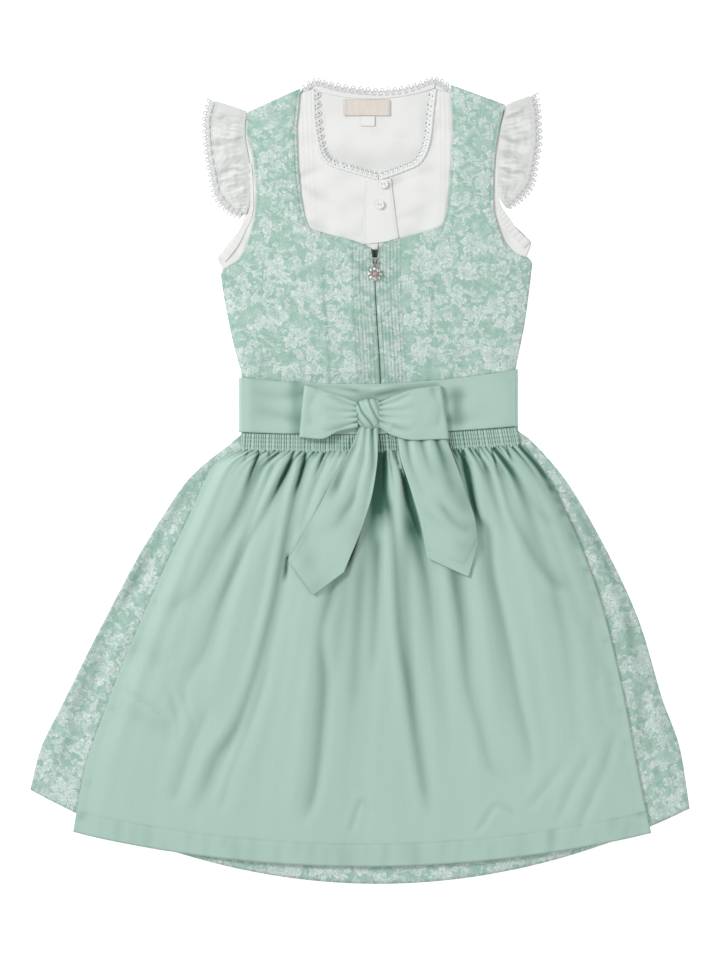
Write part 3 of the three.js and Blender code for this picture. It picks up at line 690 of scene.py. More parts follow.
bodice_back_left_outline = ladder([
    (-117, 74.3, 17.7, 76.3), (-118.6, 104, 17.7, 106), (-124, 125, 17.7, 125),
    (-139.3, 205.7, 17.7, 206),
    (-118, 226, 17.7, 240), (-104.4, 272, 17.7, 290), (-105, 305, -20, 297), (-107, 325, -52, 322),
    (-113, 349, -62, 352), (-112.6, 368, -59.9, 391.8),
])
bodice_back_right_outline = ladder([
    (18.1, 76.3, 154, 78.3), (18.1, 106, 155.4, 106), (18.1, 125, 158.8, 125), (18.1, 206, 172.4, 216.6),
    (18.1, 240, 150, 234), (18.1, 290, 134.2, 275), (56, 297, 134, 305), (84, 322, 135, 322),
    (92, 360, 139, 350), (91, 395.4, 145, 375.6),
])
blouse_back_outline = ladder([
    (-112, 122, 146, 126), (-123, 185, 153, 193), (-140.5, 221, 169.5, 236.5), (-117, 258, 147.5, 263),
    (-109.5, 284.7, 137.5, 290), (-114, 316.5, 139, 320), (-118, 348.5, 141.6, 350),
    (-112, 367, 145, 374, -14), (-43, 395.5, 73, 397.5, 9.5),
])
blouse_left_outline = ladder([
    (-112, 122, 19.3, 124), (-123, 190, 18.8, 180), (-129.5, 203, 18.8, 215), (-142.7, 222.2, 18.8, 250),
    (-126.7, 238.8, 18.8, 275), (-116.5, 261.7, 18.6, 301), (-113, 270, 5, 304.5), (-109.5, 278, -9, 309),
    (-110, 292, -31, 316.5), (-112, 305, -39, 324), (-114, 316.5, -44, 344.5), (-117, 348.5, -46.7, 366),
    (-112.5, 367.5, -47.5, 392),
])
blouse_right_outline = ladder([
    (19.7, 124, 146, 126), (19.2, 180, 156, 198), (19.2, 215, 162, 213), (19.2, 250, 171.7, 237.4),
    (19.2, 275, 157, 250), (19.2, 301, 146.5, 265), (32, 305, 141.5, 271.5), (45, 310, 138.5, 278),
    (58, 316.4, 138, 292), (66.3, 328, 138.4, 305), (70.6, 344.5, 139.6, 334.5), (73, 366, 142.6, 362),
    (76, 392, 145, 375),
])
placket_outline = ladder([(3, 236, 39, 240), (3, 262, 36, 262), (5, 299, 31, 302.5)])
neck_lace_left_outline = ladder([
    (-47.1, 392, -40, 391), (-46.3, 366, -39, 366), (-43.6, 344.5, -36.5, 346), (-38.6, 324.4, -33, 330),
    (-30.9, 316.9, -28, 323), (-8.6, 309.6, -8, 316), (5.3, 305.4, 5, 312), (18.4, 301.8, 18.4, 308.5),
])
neck_lace_right_outline = ladder([
    (75.6, 392, 68.6, 391), (72.6, 366, 65.4, 366), (70.2, 344.5, 63.4, 346), (65.9, 328.4, 60, 333),
    (57.6, 316.8, 54, 322.6), (44.6, 310.8, 43.4, 317), (31.7, 306, 31, 312.6), (19, 301.8, 19, 308.5),
])
neck_band_outline = ladder([(-47, 391, 75, 393, 9.8), (-47, 397.4, 76, 399.4, 11)])
binding_left_outline = ladder([
    (-113, 318, -108.7, 317), (-110.4, 295, -106.9, 294), (-109.6, 280, -106.6, 277),
    (-112.6, 267, -108.9, 262), (-118.2, 257, -113.4, 252), (-128, 239.5, -122, 235),
    (-142.2, 223.4, -134.5, 218.6),
])
binding_right_outline = ladder([
    (139, 322, 136.4, 321), (138.3, 305, 135.4, 304), (138.4, 290, 135.4, 287), (139.8, 278, 136.6, 272),
    (147.4, 266, 141.6, 260), (157, 252, 151, 247), (171.2, 238.6, 164.4, 232.2),
])
frill_left_outline = ladder([
    (-120, 264.4, -113.6, 268), (-129, 274.5, -110.8, 282), (-141.5, 290, -111.6, 298),
    (-145.5, 308, -114.2, 318), (-150, 335, -117.2, 338), (-151.4, 358, -118, 354), (-146, 378, -114.6, 368),
])
frill_right_outline = ladder([
    (146.5, 273, 141.6, 281), (158.5, 287, 139, 293), (167.5, 300, 139.4, 306), (172, 318, 140, 322),
    (175.6, 342, 142.6, 344), (175, 366, 144.6, 360), (170.6, 383, 146.8, 374.6),
])
loop_left_outline = ladder([
    (-2, 53, -3, 77), (-21, 49, -19, 83.5), (-39, 41, -35, 88), (-57.5, 42.5, -52.5, 94),
])
loop_right_outline = ladder([
    (19, 77, 19, 53), (35, 84, 33, 44.5), (56, 91, 54, 40), (78, 94, 86, 41),
])
tail_left_outline = ladder([
    (0, 54, 18, 53), (-10, 31, 17.8, 28), (-28, -2, 13.5, -8), (-47, -38, 4, -42), (-71.5, -80.5, -16, -92),
], (0.55, 29))
tail_right_outline = ladder([
    (37, 45, 84, 46), (40, 24, 93, 24), (50, -8, 105, -10), (60, -42, 115, -40), (67, -78, 118, -64),
], (0.66, 29))
knot_outline = ladder([
    (6, 50.6, 19, 51), (-2, 56, 21.5, 55), (-5, 66, 21.6, 67), (-4, 76, 20.4, 77), (4, 81, 17, 81.6),
])


def ramp(y):
    """0 on the surface, 1 where the tie behind the waist lifts the backs."""
    over = smooth(SASH_LOW - SASH_RAMP, SASH_LOW, y)
    return over * (1 - smooth(SASH_HIGH, SASH_HIGH + SASH_RAMP, y))


def on_skirt(y):
    return SKIRT_FRONT + STEP * ramp(y) + SKIRT_LOFT + STEP + 0.2


# ---------- skirt ----------
SKIRT_FOLDS = [
    ([(268, -150), (280, -215), (284, -290)], (5, 7), (1.3, 0.8)),
    ([(228, -40), (268, -140), (300, -235)], (6, 9), (1.0, 0.6)),
    ([(205, -2), (232, -60), (252, -100)], (4, 7), (1.0, 0.5)),
    ([(-150, 12), (-200, -60), (-235, -130)], (4, 7), (1.0, 0.6)),
    ([(-222, -90), (-262, -170), (-292, -250)], (6, 9), (1.1, 0.6)),
    ([(-262, -185), (-285, -245), (-300, -310)], (6, 8), (0.9, 0.5)),
    ([(306, -240), (310, -290), (318, -325)], (5, 6), (0.7, 0.4)),
    ([(238, -62), (262, -112), (284, -170)], (3, 5), (1.1, 0.5)),
    ([(286, -180), (298, -220), (306, -262)], (3, 5), (1.0, 0.5)),
    ([(250, -132), (264, -176), (272, -220)], (3, 4), (0.9, 0.4)),
    ([(292, -262), (300, -300), (304, -340)], (3, 5), (0.9, 0.5)),
    ([(-178, -16), (-212, -70), (-246, -140)], (3, 5), (1.1, 0.5)),
    ([(-250, -128), (-276, -190), (-300, -262)], (3, 5), (1.1, 0.5)),
    ([(-232, -160), (-250, -200), (-264, -250)], (3, 4), (0.8, 0.4)),
    ([(-292, -260), (-306, -292), (-318, -316)], (3, 5), (0.9, 0.5)),
]


def skirt_front_surface(u, v):
    x, y = skirt_outline(u, v)
    base = SKIRT_FRONT + STEP * ramp(y) + SKIRT_LOFT * np.clip(16 * u * (1 - u), 0, 1) + CLOTH
    shape = folds(x, y, SKIRT_FOLDS) + 0.3 * rumple(x, y, 60, 3) + 0.3 * rumple(x, y, 17, 6)
    side = np.minimum(u, 1 - u) * SKIRT_WIDTH
    seam = -0.3 * bell((side - 3.2) / 1.0)
    hem = -0.35 * bell((v * SKIRT_LENGTH - SKIRT_HEM) / 1.2)
    shape = shape * smooth(0, 8, side)
    z = np.maximum(base + shape + seam + hem, SKIRT_FRONT + STEP * ramp(y) + 0.9)
    # painted shade in the folds and along the side seams
    return x, y, z, np.clip(-shape * 0.55, 0, 1) + 0.5 * bell((side - 3.2) / 1.0)


def skirt_back_surface(u, v):
    x, y = skirt_outline(u, v)
    ease = smooth(0, 12, np.minimum(u, 1 - u) * SKIRT_WIDTH) * smooth(60, 20, y)
    shape = np.abs(rumple(x - 0.5 * y * (x - MIDDLE) / 300, y * 0.25, 44, 4)) * 0.8 * ease
    seam = bell((x - MIDDLE) / 1.2)
    hem = bell((v * SKIRT_LENGTH - SKIRT_HEM) / 1.2)
    # painted shade along the middle seam and the hem, painted highlight on the raised rumples
    return x, y, STEP * ramp(y) + 1.0 + shape * 0.7, 0.5 * seam + 0.4 * hem - 0.4 * shape


# ---------- bodice ----------
def bodice_base(x, y):
    across = (x - MIDDLE) / 150
    loft = lerp(WAIST_LOFT, BODICE_LOFT, smooth(105, 150, y)) * np.maximum(0, 1 - across * across)
    left = x - lerp(-117, -139.3, np.clip((y - 74) / 132, 0, 1))
    right = lerp(154, 172.4, np.clip((y - 78) / 139, 0, 1)) - x
    drop_left = (1 - smooth(0, 10, left)) * smooth(2, 12, 206 - y)
    drop_right = (1 - smooth(0, 10, right)) * smooth(2, 12, 216.5 - y)
    down = np.maximum(drop_left, drop_right)
    return lerp(BODICE_FRONT + loft, SKIRT_FRONT + STEP * ramp(y), down) + CLOTH


LEFT_SEAM = [(-38, 224), (-35.5, 180), (-32, 139), (-30, 90)]
RIGHT_SEAM = [(73, 208), (72, 170), (70, 116), (69, 90)]
BODICE_FOLDS = [
    ([(-118, 112), (-70, 122), (-30, 110)], (5, 7), (0.9, 0.5)),
    ([(150, 118), (110, 128), (66, 112)], (5, 7), (0.9, 0.5)),
    ([(-128, 196), (-96, 186), (-70, 190)], (6, 8), (0.7, 0.3)),
    ([(160, 206), (120, 196), (96, 200)], (6, 8), (0.7, 0.3)),
    ([(-96, 104), (-88, 130), (-92, 160)], (6, 8), (0.6, 0.3)),
    ([(98, 108), (108, 135), (116, 170)], (6, 8), (0.7, 0.3)),
]
TUCK_PITCH, TUCKS_START = 3.5, 3.2
TUCK_SHADES = (0.9, 0.4, 0.7, 1.0, 0.5, 0.8, 0.6)


def closure_x(y):
    """The line in which the two fronts meet."""
    return np.interp(y, [76, 106, 126, 164, 203, 230], [22, 20.3, 19.3, 16.7, 15, 15])


def bodice_surface(outline, seam, side, tuck_count):
    def surface(u, v):
        x, y = outline(u, v)
        base = bodice_base(x, y)
        inward = (closure_x(y) - x) * side
        x = x - side * 2.1 * smooth(215, 231, y) * bell(inward / 3.5)
        tucks = np.zeros_like(x)
        lines = np.zeros_like(x)
        for k in range(tuck_count):
            at = inward - TUCKS_START - TUCK_PITCH * k
            tucks += bell(at / 0.95)
            lines += TUCK_SHADES[k] * bell((at - 1.5) / 0.6)
        lines *= (y < 242) * (0.75 + 0.6 * np.clip(rumple(x * 0.2, y, 42, 15), -0.8, 0.8))
        tucks *= (y < 246) * smooth(250, 238, y)
        from_seam = near_line(x, y, seam)[0]
        seam_top = seam[0][1]
        groove = bell(from_seam / 1.1) * smooth(seam_top + 2, seam_top - 6, y)
        pucker = bell(from_seam / 5) * np.sin(y / 2.1) * smooth(seam_top + 2, seam_top - 12, y)
        inner = u if side < 0 else 1 - u
        width = np.interp(v, [0, 0.35, 0.6, 0.7, 0.8, 1.0], [138, 152, 95, 50, 46, 55])
        neck = inner * width
        arm = (1 - inner) * width
        edges = np.where(y > 232, bell((neck - 2.6) / 0.9), 0)
        edges += np.where(y > 208, bell((arm - 2.6) / 0.9), 0)
        soft = folds(x, y, BODICE_FOLDS) + 0.35 * rumple(x, y, 46, 11 if side > 0 else 12)
        soft = soft * smooth(0, 9, np.minimum(neck, arm))
        tucks *= 0.75 + 0.5 * np.clip(rumple(x, y * 0.3, 11, 13), -0.8, 0.8)
        sag = np.where(y > 232, smooth(9, 0, neck), 0)
        sag += np.where(y > 206, 0.7 * smooth(9, 0, arm), 0)
        soft = soft - 0.85 * np.clip(base - BODICE_FRONT - CLOTH, 0, 4) * np.clip(sag, 0, 1)
        z = base + soft + 0.55 * tucks - 0.5 * groove + 0.12 * pucker - 0.35 * edges
        z = z - 0.9 * bell(inward / 1.1) * (y < 228)
        tucked = (inward > 1) * (inward < TUCKS_START + TUCK_PITCH * 6.2) * (y < 244)
        # painted shade in the seams, edges, soft folds and beside the tucks, a painted shadow line above the
        # sash and along the closure
        deep = 0.55 * groove + 0.35 * edges + np.clip(-soft * 0.25, 0, 0.4) * (sag < 0.01)
        deep = deep + 0.3 * (1 - tucks) * tucked + 0.75 * lines
        deep = deep + 0.25 * bell((y - SASH_HIGH - 4 * side * (x - MIDDLE) / 140) / 5)
        return x, y, z, deep + 0.7 * bell(inward / 0.9) * (y < 216)

    return surface


def bodice_back_surface(outline):
    def surface(u, v):
        x, y = outline(u, v)
        from_middle = np.abs(x - MIDDLE)
        dart = bell((from_middle - 62 - 0.03 * (y - 74)) / 1.2) * (y < 240)
        edges = bell((np.abs(x - 17.9) - 3) / 0.9) * (y < 290)
        shape = np.abs(rumple(x, y, 40, 14)) * 0.4 * smooth(0, 8, from_middle) * (y > 120)
        # painted shade along the darts and the closure edges, painted highlight on the raised rumples
        return x, y, STEP * ramp(y) + 1.0 + shape, 0.45 * dart + 0.35 * edges - 0.3 * shape

    return surface


# ---------- blouse ----------
BLOUSE_FOLDS = [
    ([(-57, 306), (-44, 310), (-28, 312)], (3, 5), (0.7, 0.3)),
    ([(-50, 290), (-30, 279), (-4, 268)], (4, 6), (0.7, 0.4)),
    ([(36, 299), (56, 306), (82, 316)], (3, 5), (0.6, 0.4)),
    ([(44, 264), (62, 272), (83, 286)], (4, 6), (0.7, 0.4)),
    ([(-46, 256), (-20, 247), (6, 244)], (4, 5), (0.7, 0.4)),
    ([(72, 340), (78, 356), (80, 376)], (3, 4), (0.5, 0.3)),
]
FRILL_FOLDS = [
    ([(144, 344), (158, 339), (173, 341)], (1.4, 3), (1.0, 0.7)),
    ([(141, 314), (155, 308), (168, 312)], (1.4, 3), (0.9, 0.6)),
    ([(148, 362), (160, 368), (171, 378)], (1.4, 3), (0.8, 0.6)),
    ([(-117, 344), (-131, 339), (-147, 335)], (1.4, 3), (1.0, 0.7)),
    ([(-113, 306), (-127, 312), (-143, 306)], (1.4, 3), (0.9, 0.6)),
    ([(-116, 362), (-131, 364), (-147, 362)], (1.4, 3), (0.8, 0.6)),
]


def blouse_front_surface(outline, tuck_line):
    def surface(u, v):
        x, y = outline(u, v)
        away = near_line(x, y, tuck_line)[0]
        tucks = sum(bell(away - at) for at in (0, 4.5, -4.5))
        ripples = 0.5 * rumple(x, y, 32, 21)
        ripples += 0.15 * np.sin((x + 0.25 * y) / 2.6) * bell((y - 232) / 18)
        edge = smooth(0, 0.08, u) * smooth(0, 0.08, 1 - u)
        visible = smooth(100, 160, y)
        creases = folds(x, y, BLOUSE_FOLDS, 0.3)
        z = BLOUSE_FRONT + FINE + ((ripples + 0.8 * creases) * edge + 0.25 * tucks) * visible
        # painted shade in the hollows, creases and along the tucks, painted highlight on the rises
        return x, y, z, 0.7 * np.clip(-ripples, -0.5, 1) + 0.14 * tucks - 0.4 * creases

    return surface


def blouse_back_surface(u, v):
    x, y = blouse_back_outline(u, v)
    shape = 0.12 * rumple(x, y, 38, 31)
    shade = 0.35 * bell((y - 318 - 0.0018 * (x - 14) ** 2) / 14)
    shade = shade + 0.35 * bell((np.abs(x - 14) - 55) / 9)
    wrinkle = 0.3 * bell((y - 352 + 0.15 * x) / 2.2) * bell((x - 36) / 22)
    # painted shade inside the neck opening and in the wrinkle, painted shade and highlight following the
    # rumples
    deep = 0.1 + 1.0 * (np.clip(shade, 0, 0.5) - 0.12) + 0.6 * wrinkle + 2.8 * shape
    return x, y, BLOUSE_BACK + FINE + shape * 0.6 - wrinkle * 0.3, deep


def frill_surface(outline, inwards):
    def surface(u, v):
        turn = 0.06
        s, t, x, y, bent = doubled(outline, u, v, turn)
        down, across = t * 118, u * 32
        wave = 1.2 * rumple(down, across * 0.35, 12, 41) + 1.1 * rumple(down, across * 0.5, 5.5, 44)
        wave = np.sign(wave) * np.abs(wave) ** 0.7 + 0.5 * rumple(down * 1.4, across, 4.5, 45)
        wave = wave * lerp(1.0, 0.6, 1 - u) + 0.5 * rumple(x, y, 15, 43)
        at_seam = smooth(0.78, 1, u)
        wave = wave * (0.2 + 0.8 * smooth(0, 0.14, u)) * (1 - 0.85 * at_seam)
        stitch = bell((across - 3.4) / 0.7)
        calm = smooth(1, 0.86, t)
        wave = wave + 1.3 * folds(x, y, FRILL_FOLDS, 0.4) * smooth(0, 0.14, u) * (1 - 0.85 * at_seam)
        high = FRILL_TOP + wave * calm * 0.8 - 0.25 * stitch - 1.2 * at_seam * smooth(262, 290, y)
        # painted shade in the frill's hollows and painted highlight on its crests; the + 0.42 below is
        # painted shade over the whole frill
        deep = np.where(s > 0, np.clip(-wave * 0.5, -0.45, 0.7) * calm + 0.25 * stitch, 0)
        tuck_in = np.interp(y, [270, 300, 320, 340, 356, 372], [0.5, 1.5, 4, 3, 3, 1])
        x, y, z = bent(0.2 + 0 * x, high)
        return x + inwards * tuck_in * smooth(0.7, 1, u) * (s > turn), y, z, deep + 0.42

    return surface


# ---------- apron ----------
APRON_FOLDS = [
    ([(-104, 10), (-120, -30), (-140, -65), (-165, -110), (-210, -142)], (4, 13), (1.9, 1.0), 0.3, 0.2),
    ([(-74, 10), (-90, -25), (-115, -70), (-140, -125), (-155, -170), (-177, -214)],
     (4, 11), (2.2, 1.6), 0.3, 0.2),
    ([(-88, 10), (-104, -30), (-126, -85), (-150, -150)], (3, 8), (1.6, 0.6)),
    ([(-58, 12), (-70, -40), (-85, -120), (-95, -160), (-106, -200), (-123, -247), (-145, -281), (-156, -312),
      (-169, -345)], (5, 11), (2.4, 2.2), 0.35, 0.35),
    ([(-158, -243), (-169, -268), (-180, -301), (-190, -330)], (7, 8), (1.4, 1.2)),
    ([(-30, -115), (-40, -160), (-36, -203), (-39, -247), (-43, -290), (-49, -323), (-60, -351)],
     (7, 10), (1.8, 2.2), 0.35, -0.3),
    ([(19, 40), (20, 0), (22, -25), (24, -60)], (5, 8), (7.0, 1.5), 0.25),
    ([(30, -30), (35, -53), (41, -155), (50, -214), (58, -273), (65, -312), (74, -355)],
     (5, 9), (2.7, 1.8), 0.35, 0.3),
    ([(54, -53), (67, -101), (72, -144), (76, -199), (85, -275)], (6, 10), (2.4, 0.9)),
    ([(95, -101), (102, -144), (108, -203), (119, -247), (130, -286), (147, -312)],
     (7, 9), (2.0, 1.2), 0.3, 0.3),
    ([(108, 10), (117, -35), (128, -53), (132, -90), (141, -133), (150, -177), (158, -220), (171, -281),
      (171, -316)], (5, 11), (2.6, 1.6), 0.3, -0.3),
    ([(142, 4), (152, -32), (165, -58), (184, -90), (199, -105), (217, -112)], (4, 9), (1.9, 0.8), 0.3, 0.25),
    ([(126, 10), (133, -12), (144, -40), (160, -70)], (3, 7), (1.7, 0.8)),
    ([(154, 10), (166, -10), (180, -32), (200, -50)], (3, 7), (1.3, 0.5)),
    ([(176, -320), (190, -302), (206, -281)], (4, 6), (0.8, 0.7), 0.4),
    ([(202, -331), (216, -300), (234, -268)], (4, 6), (1.0, 0.7), 0.4),
    ([(223, -338), (243, -290), (259, -242)], (4, 7), (1.2, 0.6), 0.4),
    ([(-175, -220), (-169, -236), (-163, -250)], (3, 3), (0.9, 0.5)),
    ([(-214, -172), (-200, -180), (-186, -184)], (14, 12), (0.8, 0.6), 0.2),
    ([(-216, -240), (-200, -246), (-186, -244)], (14, 12), (0.8, 0.6), 0.2),
    ([(-36, 14), (-50, -20), (-62, -60)], (3, 7), (1.6, 0.8)),
    ([(64, 16), (62, -10), (66, -40)], (3, 8), (2.0, 1.5)),
    ([(0, -100), (-2, -160), (-6, -240)], (8, 12), (0.8, 0.5)),
    ([(-230, -214), (-210, -226), (-196, -238)], (3, 4), (0.9, 0.6), 0.4),
    ([(-188, -222), (-182, -240), (-178, -256)], (3, 4), (0.8, 0.5), 0.4),
    ([(-94, -196), (-112, -250), (-130, -300), (-140, -336)], (4, 7), (0.5, 1.2), 0.4, 0.3),
    ([(-8, -346), (2, -322), (14, -336)], (3, 4), (0.9, 0.6), 0.4),
    ([(122, -346), (138, -326), (160, -338)], (3, 4), (0.9, 0.7), 0.4),
    ([(196, -120), (206, -170), (212, -230), (216, -290)], (7, 10), (1.0, 0.6)),
    ([(18, -70), (16, -130), (12, -200)], (5, 8), (1.5, 0.6), 0.35, 0.2),
    ([(232, -150), (238, -180), (236, -206)], (6, 6), (0.8, 0.4), 0.4),
    ([(246, -190), (254, -216), (256, -240)], (5, 6), (0.8, 0.5), 0.4),
]
APRON_SLITS = [  # tight pleats let out of the band: line, widest half width, depth
    ([(-98.5, 34), (-99.7, 31), (-103.3, 21), (-108.3, 9.5), (-112.5, -4), (-119, -20)], 1.5, 4.6),
    ([(-90.5, 32), (-90.8, 28), (-91.3, 18)], 0.9, 3.4),
    ([(-65, 30), (-67.5, 24.5), (-73.3, 11), (-79.2, -0.5), (-86.7, -16), (-97, -36)], 1.9, 5.0),
    ([(-53, 34), (-53.7, 28.7), (-57.5, 12.8), (-60.8, 1.2), (-65, -10.5), (-69, -24)], 1.5, 4.8),
    ([(-35, 32), (-37, 25), (-42, 11), (-47, -3)], 1.3, 3.0),
    ([(-44, 34), (-45, 30), (-47, 22)], 0.8, 3.4),
    ([(-74, 34), (-75, 30), (-78, 22)], 0.8, 2.8),
    ([(-110, 33), (-113, 26), (-118, 14)], 0.9, 2.2),
    ([(19, 42), (20.5, 28), (21.5, 8), (22, -12), (21, -28), (20, -42)], 2.3, 7.0),
    ([(27, 42), (28.4, 33), (32, 8), (37, -22)], 1.2, 3.6),
    ([(-1, -48), (-6, -64), (-11, -79), (-16, -92)], 2.0, 5.0),
    ([(-72.5, -76), (-73.5, -86), (-74.5, -96), (-76, -106)], 1.6, 3.6),
    ([(33, 40), (35.5, 26), (39, 14), (42, 4)], 1.2, 4.0),
    ([(40.5, 10), (44, -2), (49.5, -20), (56, -40), (61.5, -58), (66.5, -78)], 2.4, 5.5),
    ([(102, 36), (103, 28), (106, 12), (109.5, -6), (114, -28), (119, -48)], 1.8, 5.0),
    ([(131, 36), (133, 26), (138, 10), (144, -6)], 1.2, 3.4),
    ([(146, 36), (149, 26), (156, 12)], 1.0, 3.2),
    ([(118, 36), (119, 30), (122, 20)], 0.9, 3.2),
    ([(88, 38), (88.5, 30), (90, 14)], 1.0, 3.0),
    ([(66, 38), (67, 26), (69, 6)], 1.2, 3.0),
]


SMOCK_TUCKS = 107


def slits(x, y, table):
    """Pleats pinched shut: narrow at the band, widest a third of the way down, then let go."""
    total = np.zeros_like(x)
    for line, width, depth in table:
        side, along, past = near_line(x, y, line)
        reach = width * (0.45 + 0.55 * smooth(0, 0.4, along)) * (1 + 0.6 * smooth(0.5, 1, along))
        held = smooth(1, 0.45, along) * bell(past / 1.5)
        total = np.maximum(total, depth * held * np.exp(-np.abs(side / reach) ** 1.7))
    return total


def small_gathers(u, drop):
    """The fullness let out of the smocking: narrow slits under the band that widen and fade."""
    rng = np.random.default_rng(19)
    total = np.zeros_like(u)
    at = 0.012
    while at < 0.99:
        length = rng.choice([10, 16, 28, 50, 85], p=[0.2, 0.25, 0.25, 0.18, 0.12])
        depth = 1.5 + length * 0.03 * rng.uniform(0.7, 1.2)
        lean = rng.uniform(-0.00016, 0.00016)
        width = (0.0040 + 0.00004 * length) * (1 + drop / 40)
        total += depth * bell((u - at - lean * drop) / width) * np.exp(-drop / length)
        at += rng.uniform(0.014, 0.031)
    return total + 0.5 * np.cos(2 * math.pi * SMOCK_TUCKS * u) * np.exp(-drop / 4)


def long_swells(u, drop):
    """Slow rises and hollows that run from the gathers to the hem."""
    total = np.zeros_like(u)
    waves = [(6, 0.4, 0.5), (11, 2.1, -0.7), (17, 4.4, 0.8), (27, 1.2, 0.6)]
    for k, (count, start, bend) in enumerate(waves):
        drift = bend * np.sin(drop / (95 - 14 * k))
        total += np.sin(2 * math.pi * count * u + start + drift) / (1 + 0.35 * k)
    return total * 0.5


def apron_surface(u, v):
    x, y = apron_outline(u, v)
    sides = smooth(0, 0.05, np.minimum(u, 1 - u))
    rise = lerp(APRON_HEM_LOFT, APRON_LOFT, smooth(0, 1, v) ** 0.7)
    drop = np.interp(v, [0, 1 / 6, 2 / 6, 3 / 6, 4 / 6, 5 / 6, 1], [388, 325, 250, 155, 75, 20, 0])
    gathers = small_gathers(u, drop)
    swells = long_swells(u, drop) * (1 - 0.6 * smooth(180, 330, drop))
    slots = folds(x, y, APRON_FOLDS, 0.3, 0.8)
    pleats = slits(x, y, APRON_SLITS)
    shape = slots * 1.3 - pleats - 1.25 * gathers * sides + 0.75 * swells * smooth(0, 60, drop) * sides
    shape += 0.3 * rumple(x, y, 90, 5)
    shape = shape * smooth(0, 12, (v * 400) + 8)
    up = v * APRON_LENGTH
    edge = np.minimum(u, 1 - u) * APRON_WIDTH
    hem = -0.5 * bell((up - APRON_HEM) / 1.1)
    turned = 0.35 * smooth(APRON_HEM + 1, APRON_HEM - 1, up)
    side_hem = -0.35 * bell((edge - APRON_SIDE_HEM) / 1.0)
    under_band = smooth(-3, 13, drop)
    loft = rise * sides * (0.12 + 0.88 * under_band)
    body = loft + shape * (0.5 + 0.5 * under_band) * smooth(-2, 14, edge)
    body = 0.1 + np.logaddexp(0, body * 1.6) / 1.6
    z = on_skirt(y) + CLOTH + body + hem + turned + side_hem
    # painted shadow on the apron in the gaps beside the bow's tails
    painted_shadow_beside_tails = 0.75 * bell((x - 22 + 0.04 * y) / 8) * smooth(-60, 20, y)
    painted_shadow_beside_tails = painted_shadow_beside_tails + 0.5 * bell((x - 98 + 0.3 * y) / 7) * smooth(-20, 20, y)
    # painted shade in the folds, gathers and slits and along the hems, painted highlight on the swells and,
    # faintly, over the apron below the band
    deep = np.clip(-slots / 3.6, -0.4, 1) * 0.8
    deep = deep + (0.36 + 0.16 * bell(drop / 18)) * gathers - 0.17 * swells * sides
    deep = deep + 0.6 * painted_shadow_beside_tails + pleats * 0.24
    deep += 0.22 * bell((up - APRON_HEM) / 0.9) + 0.1 * bell(drop / 3)
    deep += 0.12 * bell((edge - APRON_SIDE_HEM) / 0.8)
    deep += smooth(APRON_HEM + 1, APRON_HEM - 2, up) * (0.12 + 0.22 * rumple(x, y * 0.25, 15, 9))
    deep += 0.35 * rumple(x * 0.2, y, 8, 10) * bell((edge - 6) / 5)
    return x, y, z, deep - 0.06 * (1 - bell(drop / 30))


def smock_surface(u, v):
    x, y = smock_outline(u, v)
    rows = v * 15.5
    pinch = sum(bell((rows - at) / 0.7) for at in (1.4, 5.8, 10.0, 14.2))
    held = np.clip(pinch, 0, 1)
    phase = u * SMOCK_TUCKS + 0.25 * np.sin(u * 90) + 0.16 * np.sin(u * 231)
    tuck = np.abs(np.sin(math.pi * phase)) ** 0.8
    puff = lerp(1.25, 0.8, held) * (1 + 0.3 * np.sin(u * 151) * np.sin(u * 67))
    z = on_skirt(y) + CLOTH + 0.1 + tuck * puff - 0.35 * held + 0.3 * smooth(0.15, 0, v)
    y = y - (2.2 * tuck * (1 + 0.5 * np.sin(u * 190)) - 0.4) * smooth(0.25, 0, v)
    ends = smooth(0, 0.012, np.minimum(u, 1 - u))
    # painted shade between the tucks and under the sash, painted highlight on the tucks' tops, painted shadow
    # under the bow's tails and loops
    deep = lerp(1.1, 0.35, held) * smooth(0.68, 0.15, tuck)
    deep -= lerp(-0.12, 0.6, held) * smooth(0.6, 1.0, tuck)
    deep += 0.5 * bell((x - 22) / 9) + 0.3 * smooth(0.8, 1.0, v)
    deep += 0.35 * bell((x + 34) / 14) * smooth(0.2, 0.7, v) + 0.3 * bell((x - 96) / 10)
    return x, y, lerp(on_skirt(y) + CLOTH, z, ends), deep


def sash_height(x):
    """The height of the band's underside: down at its two ends, over the apron between them."""
    inside = np.minimum(x - SASH_LEFT, SASH_RIGHT - x)
    rise = np.clip(inside / SASH_EDGE, 0, 1) * (SASH_OVER_SIDE - SASH_SIDE)
    onto = smooth(SASH_EDGE, SASH_EDGE + 10, inside) * (SASH_FRONT - SASH_OVER_SIDE)
    return SASH_SIDE + rise + onto


SASH_FOLDS = [
    ([(-6, 90), (-26, 94), (-52, 97)], (2.5, 5), (1.8, 0.5), 0.5),
    ([(20, 86), (44, 92), (92, 99)], (2.5, 5), (1.8, 0.5), 0.5),
    ([(76, 88), (92, 84), (118, 86)], (5, 7), (0.8, 0.3)),
    ([(84, 60), (106, 62), (138, 72)], (5, 8), (1.2, 0.3)),
    ([(-60, 60), (-84, 66), (-112, 72)], (5, 8), (1.1, 0.3)),
    ([(-58, 88), (-80, 84), (-112, 88)], (5, 8), (1.0, 0.3)),
    ([(-40, 103), (14, 98), (66, 104)], (3, 3), (0.8, 0.8), 0.5),
]


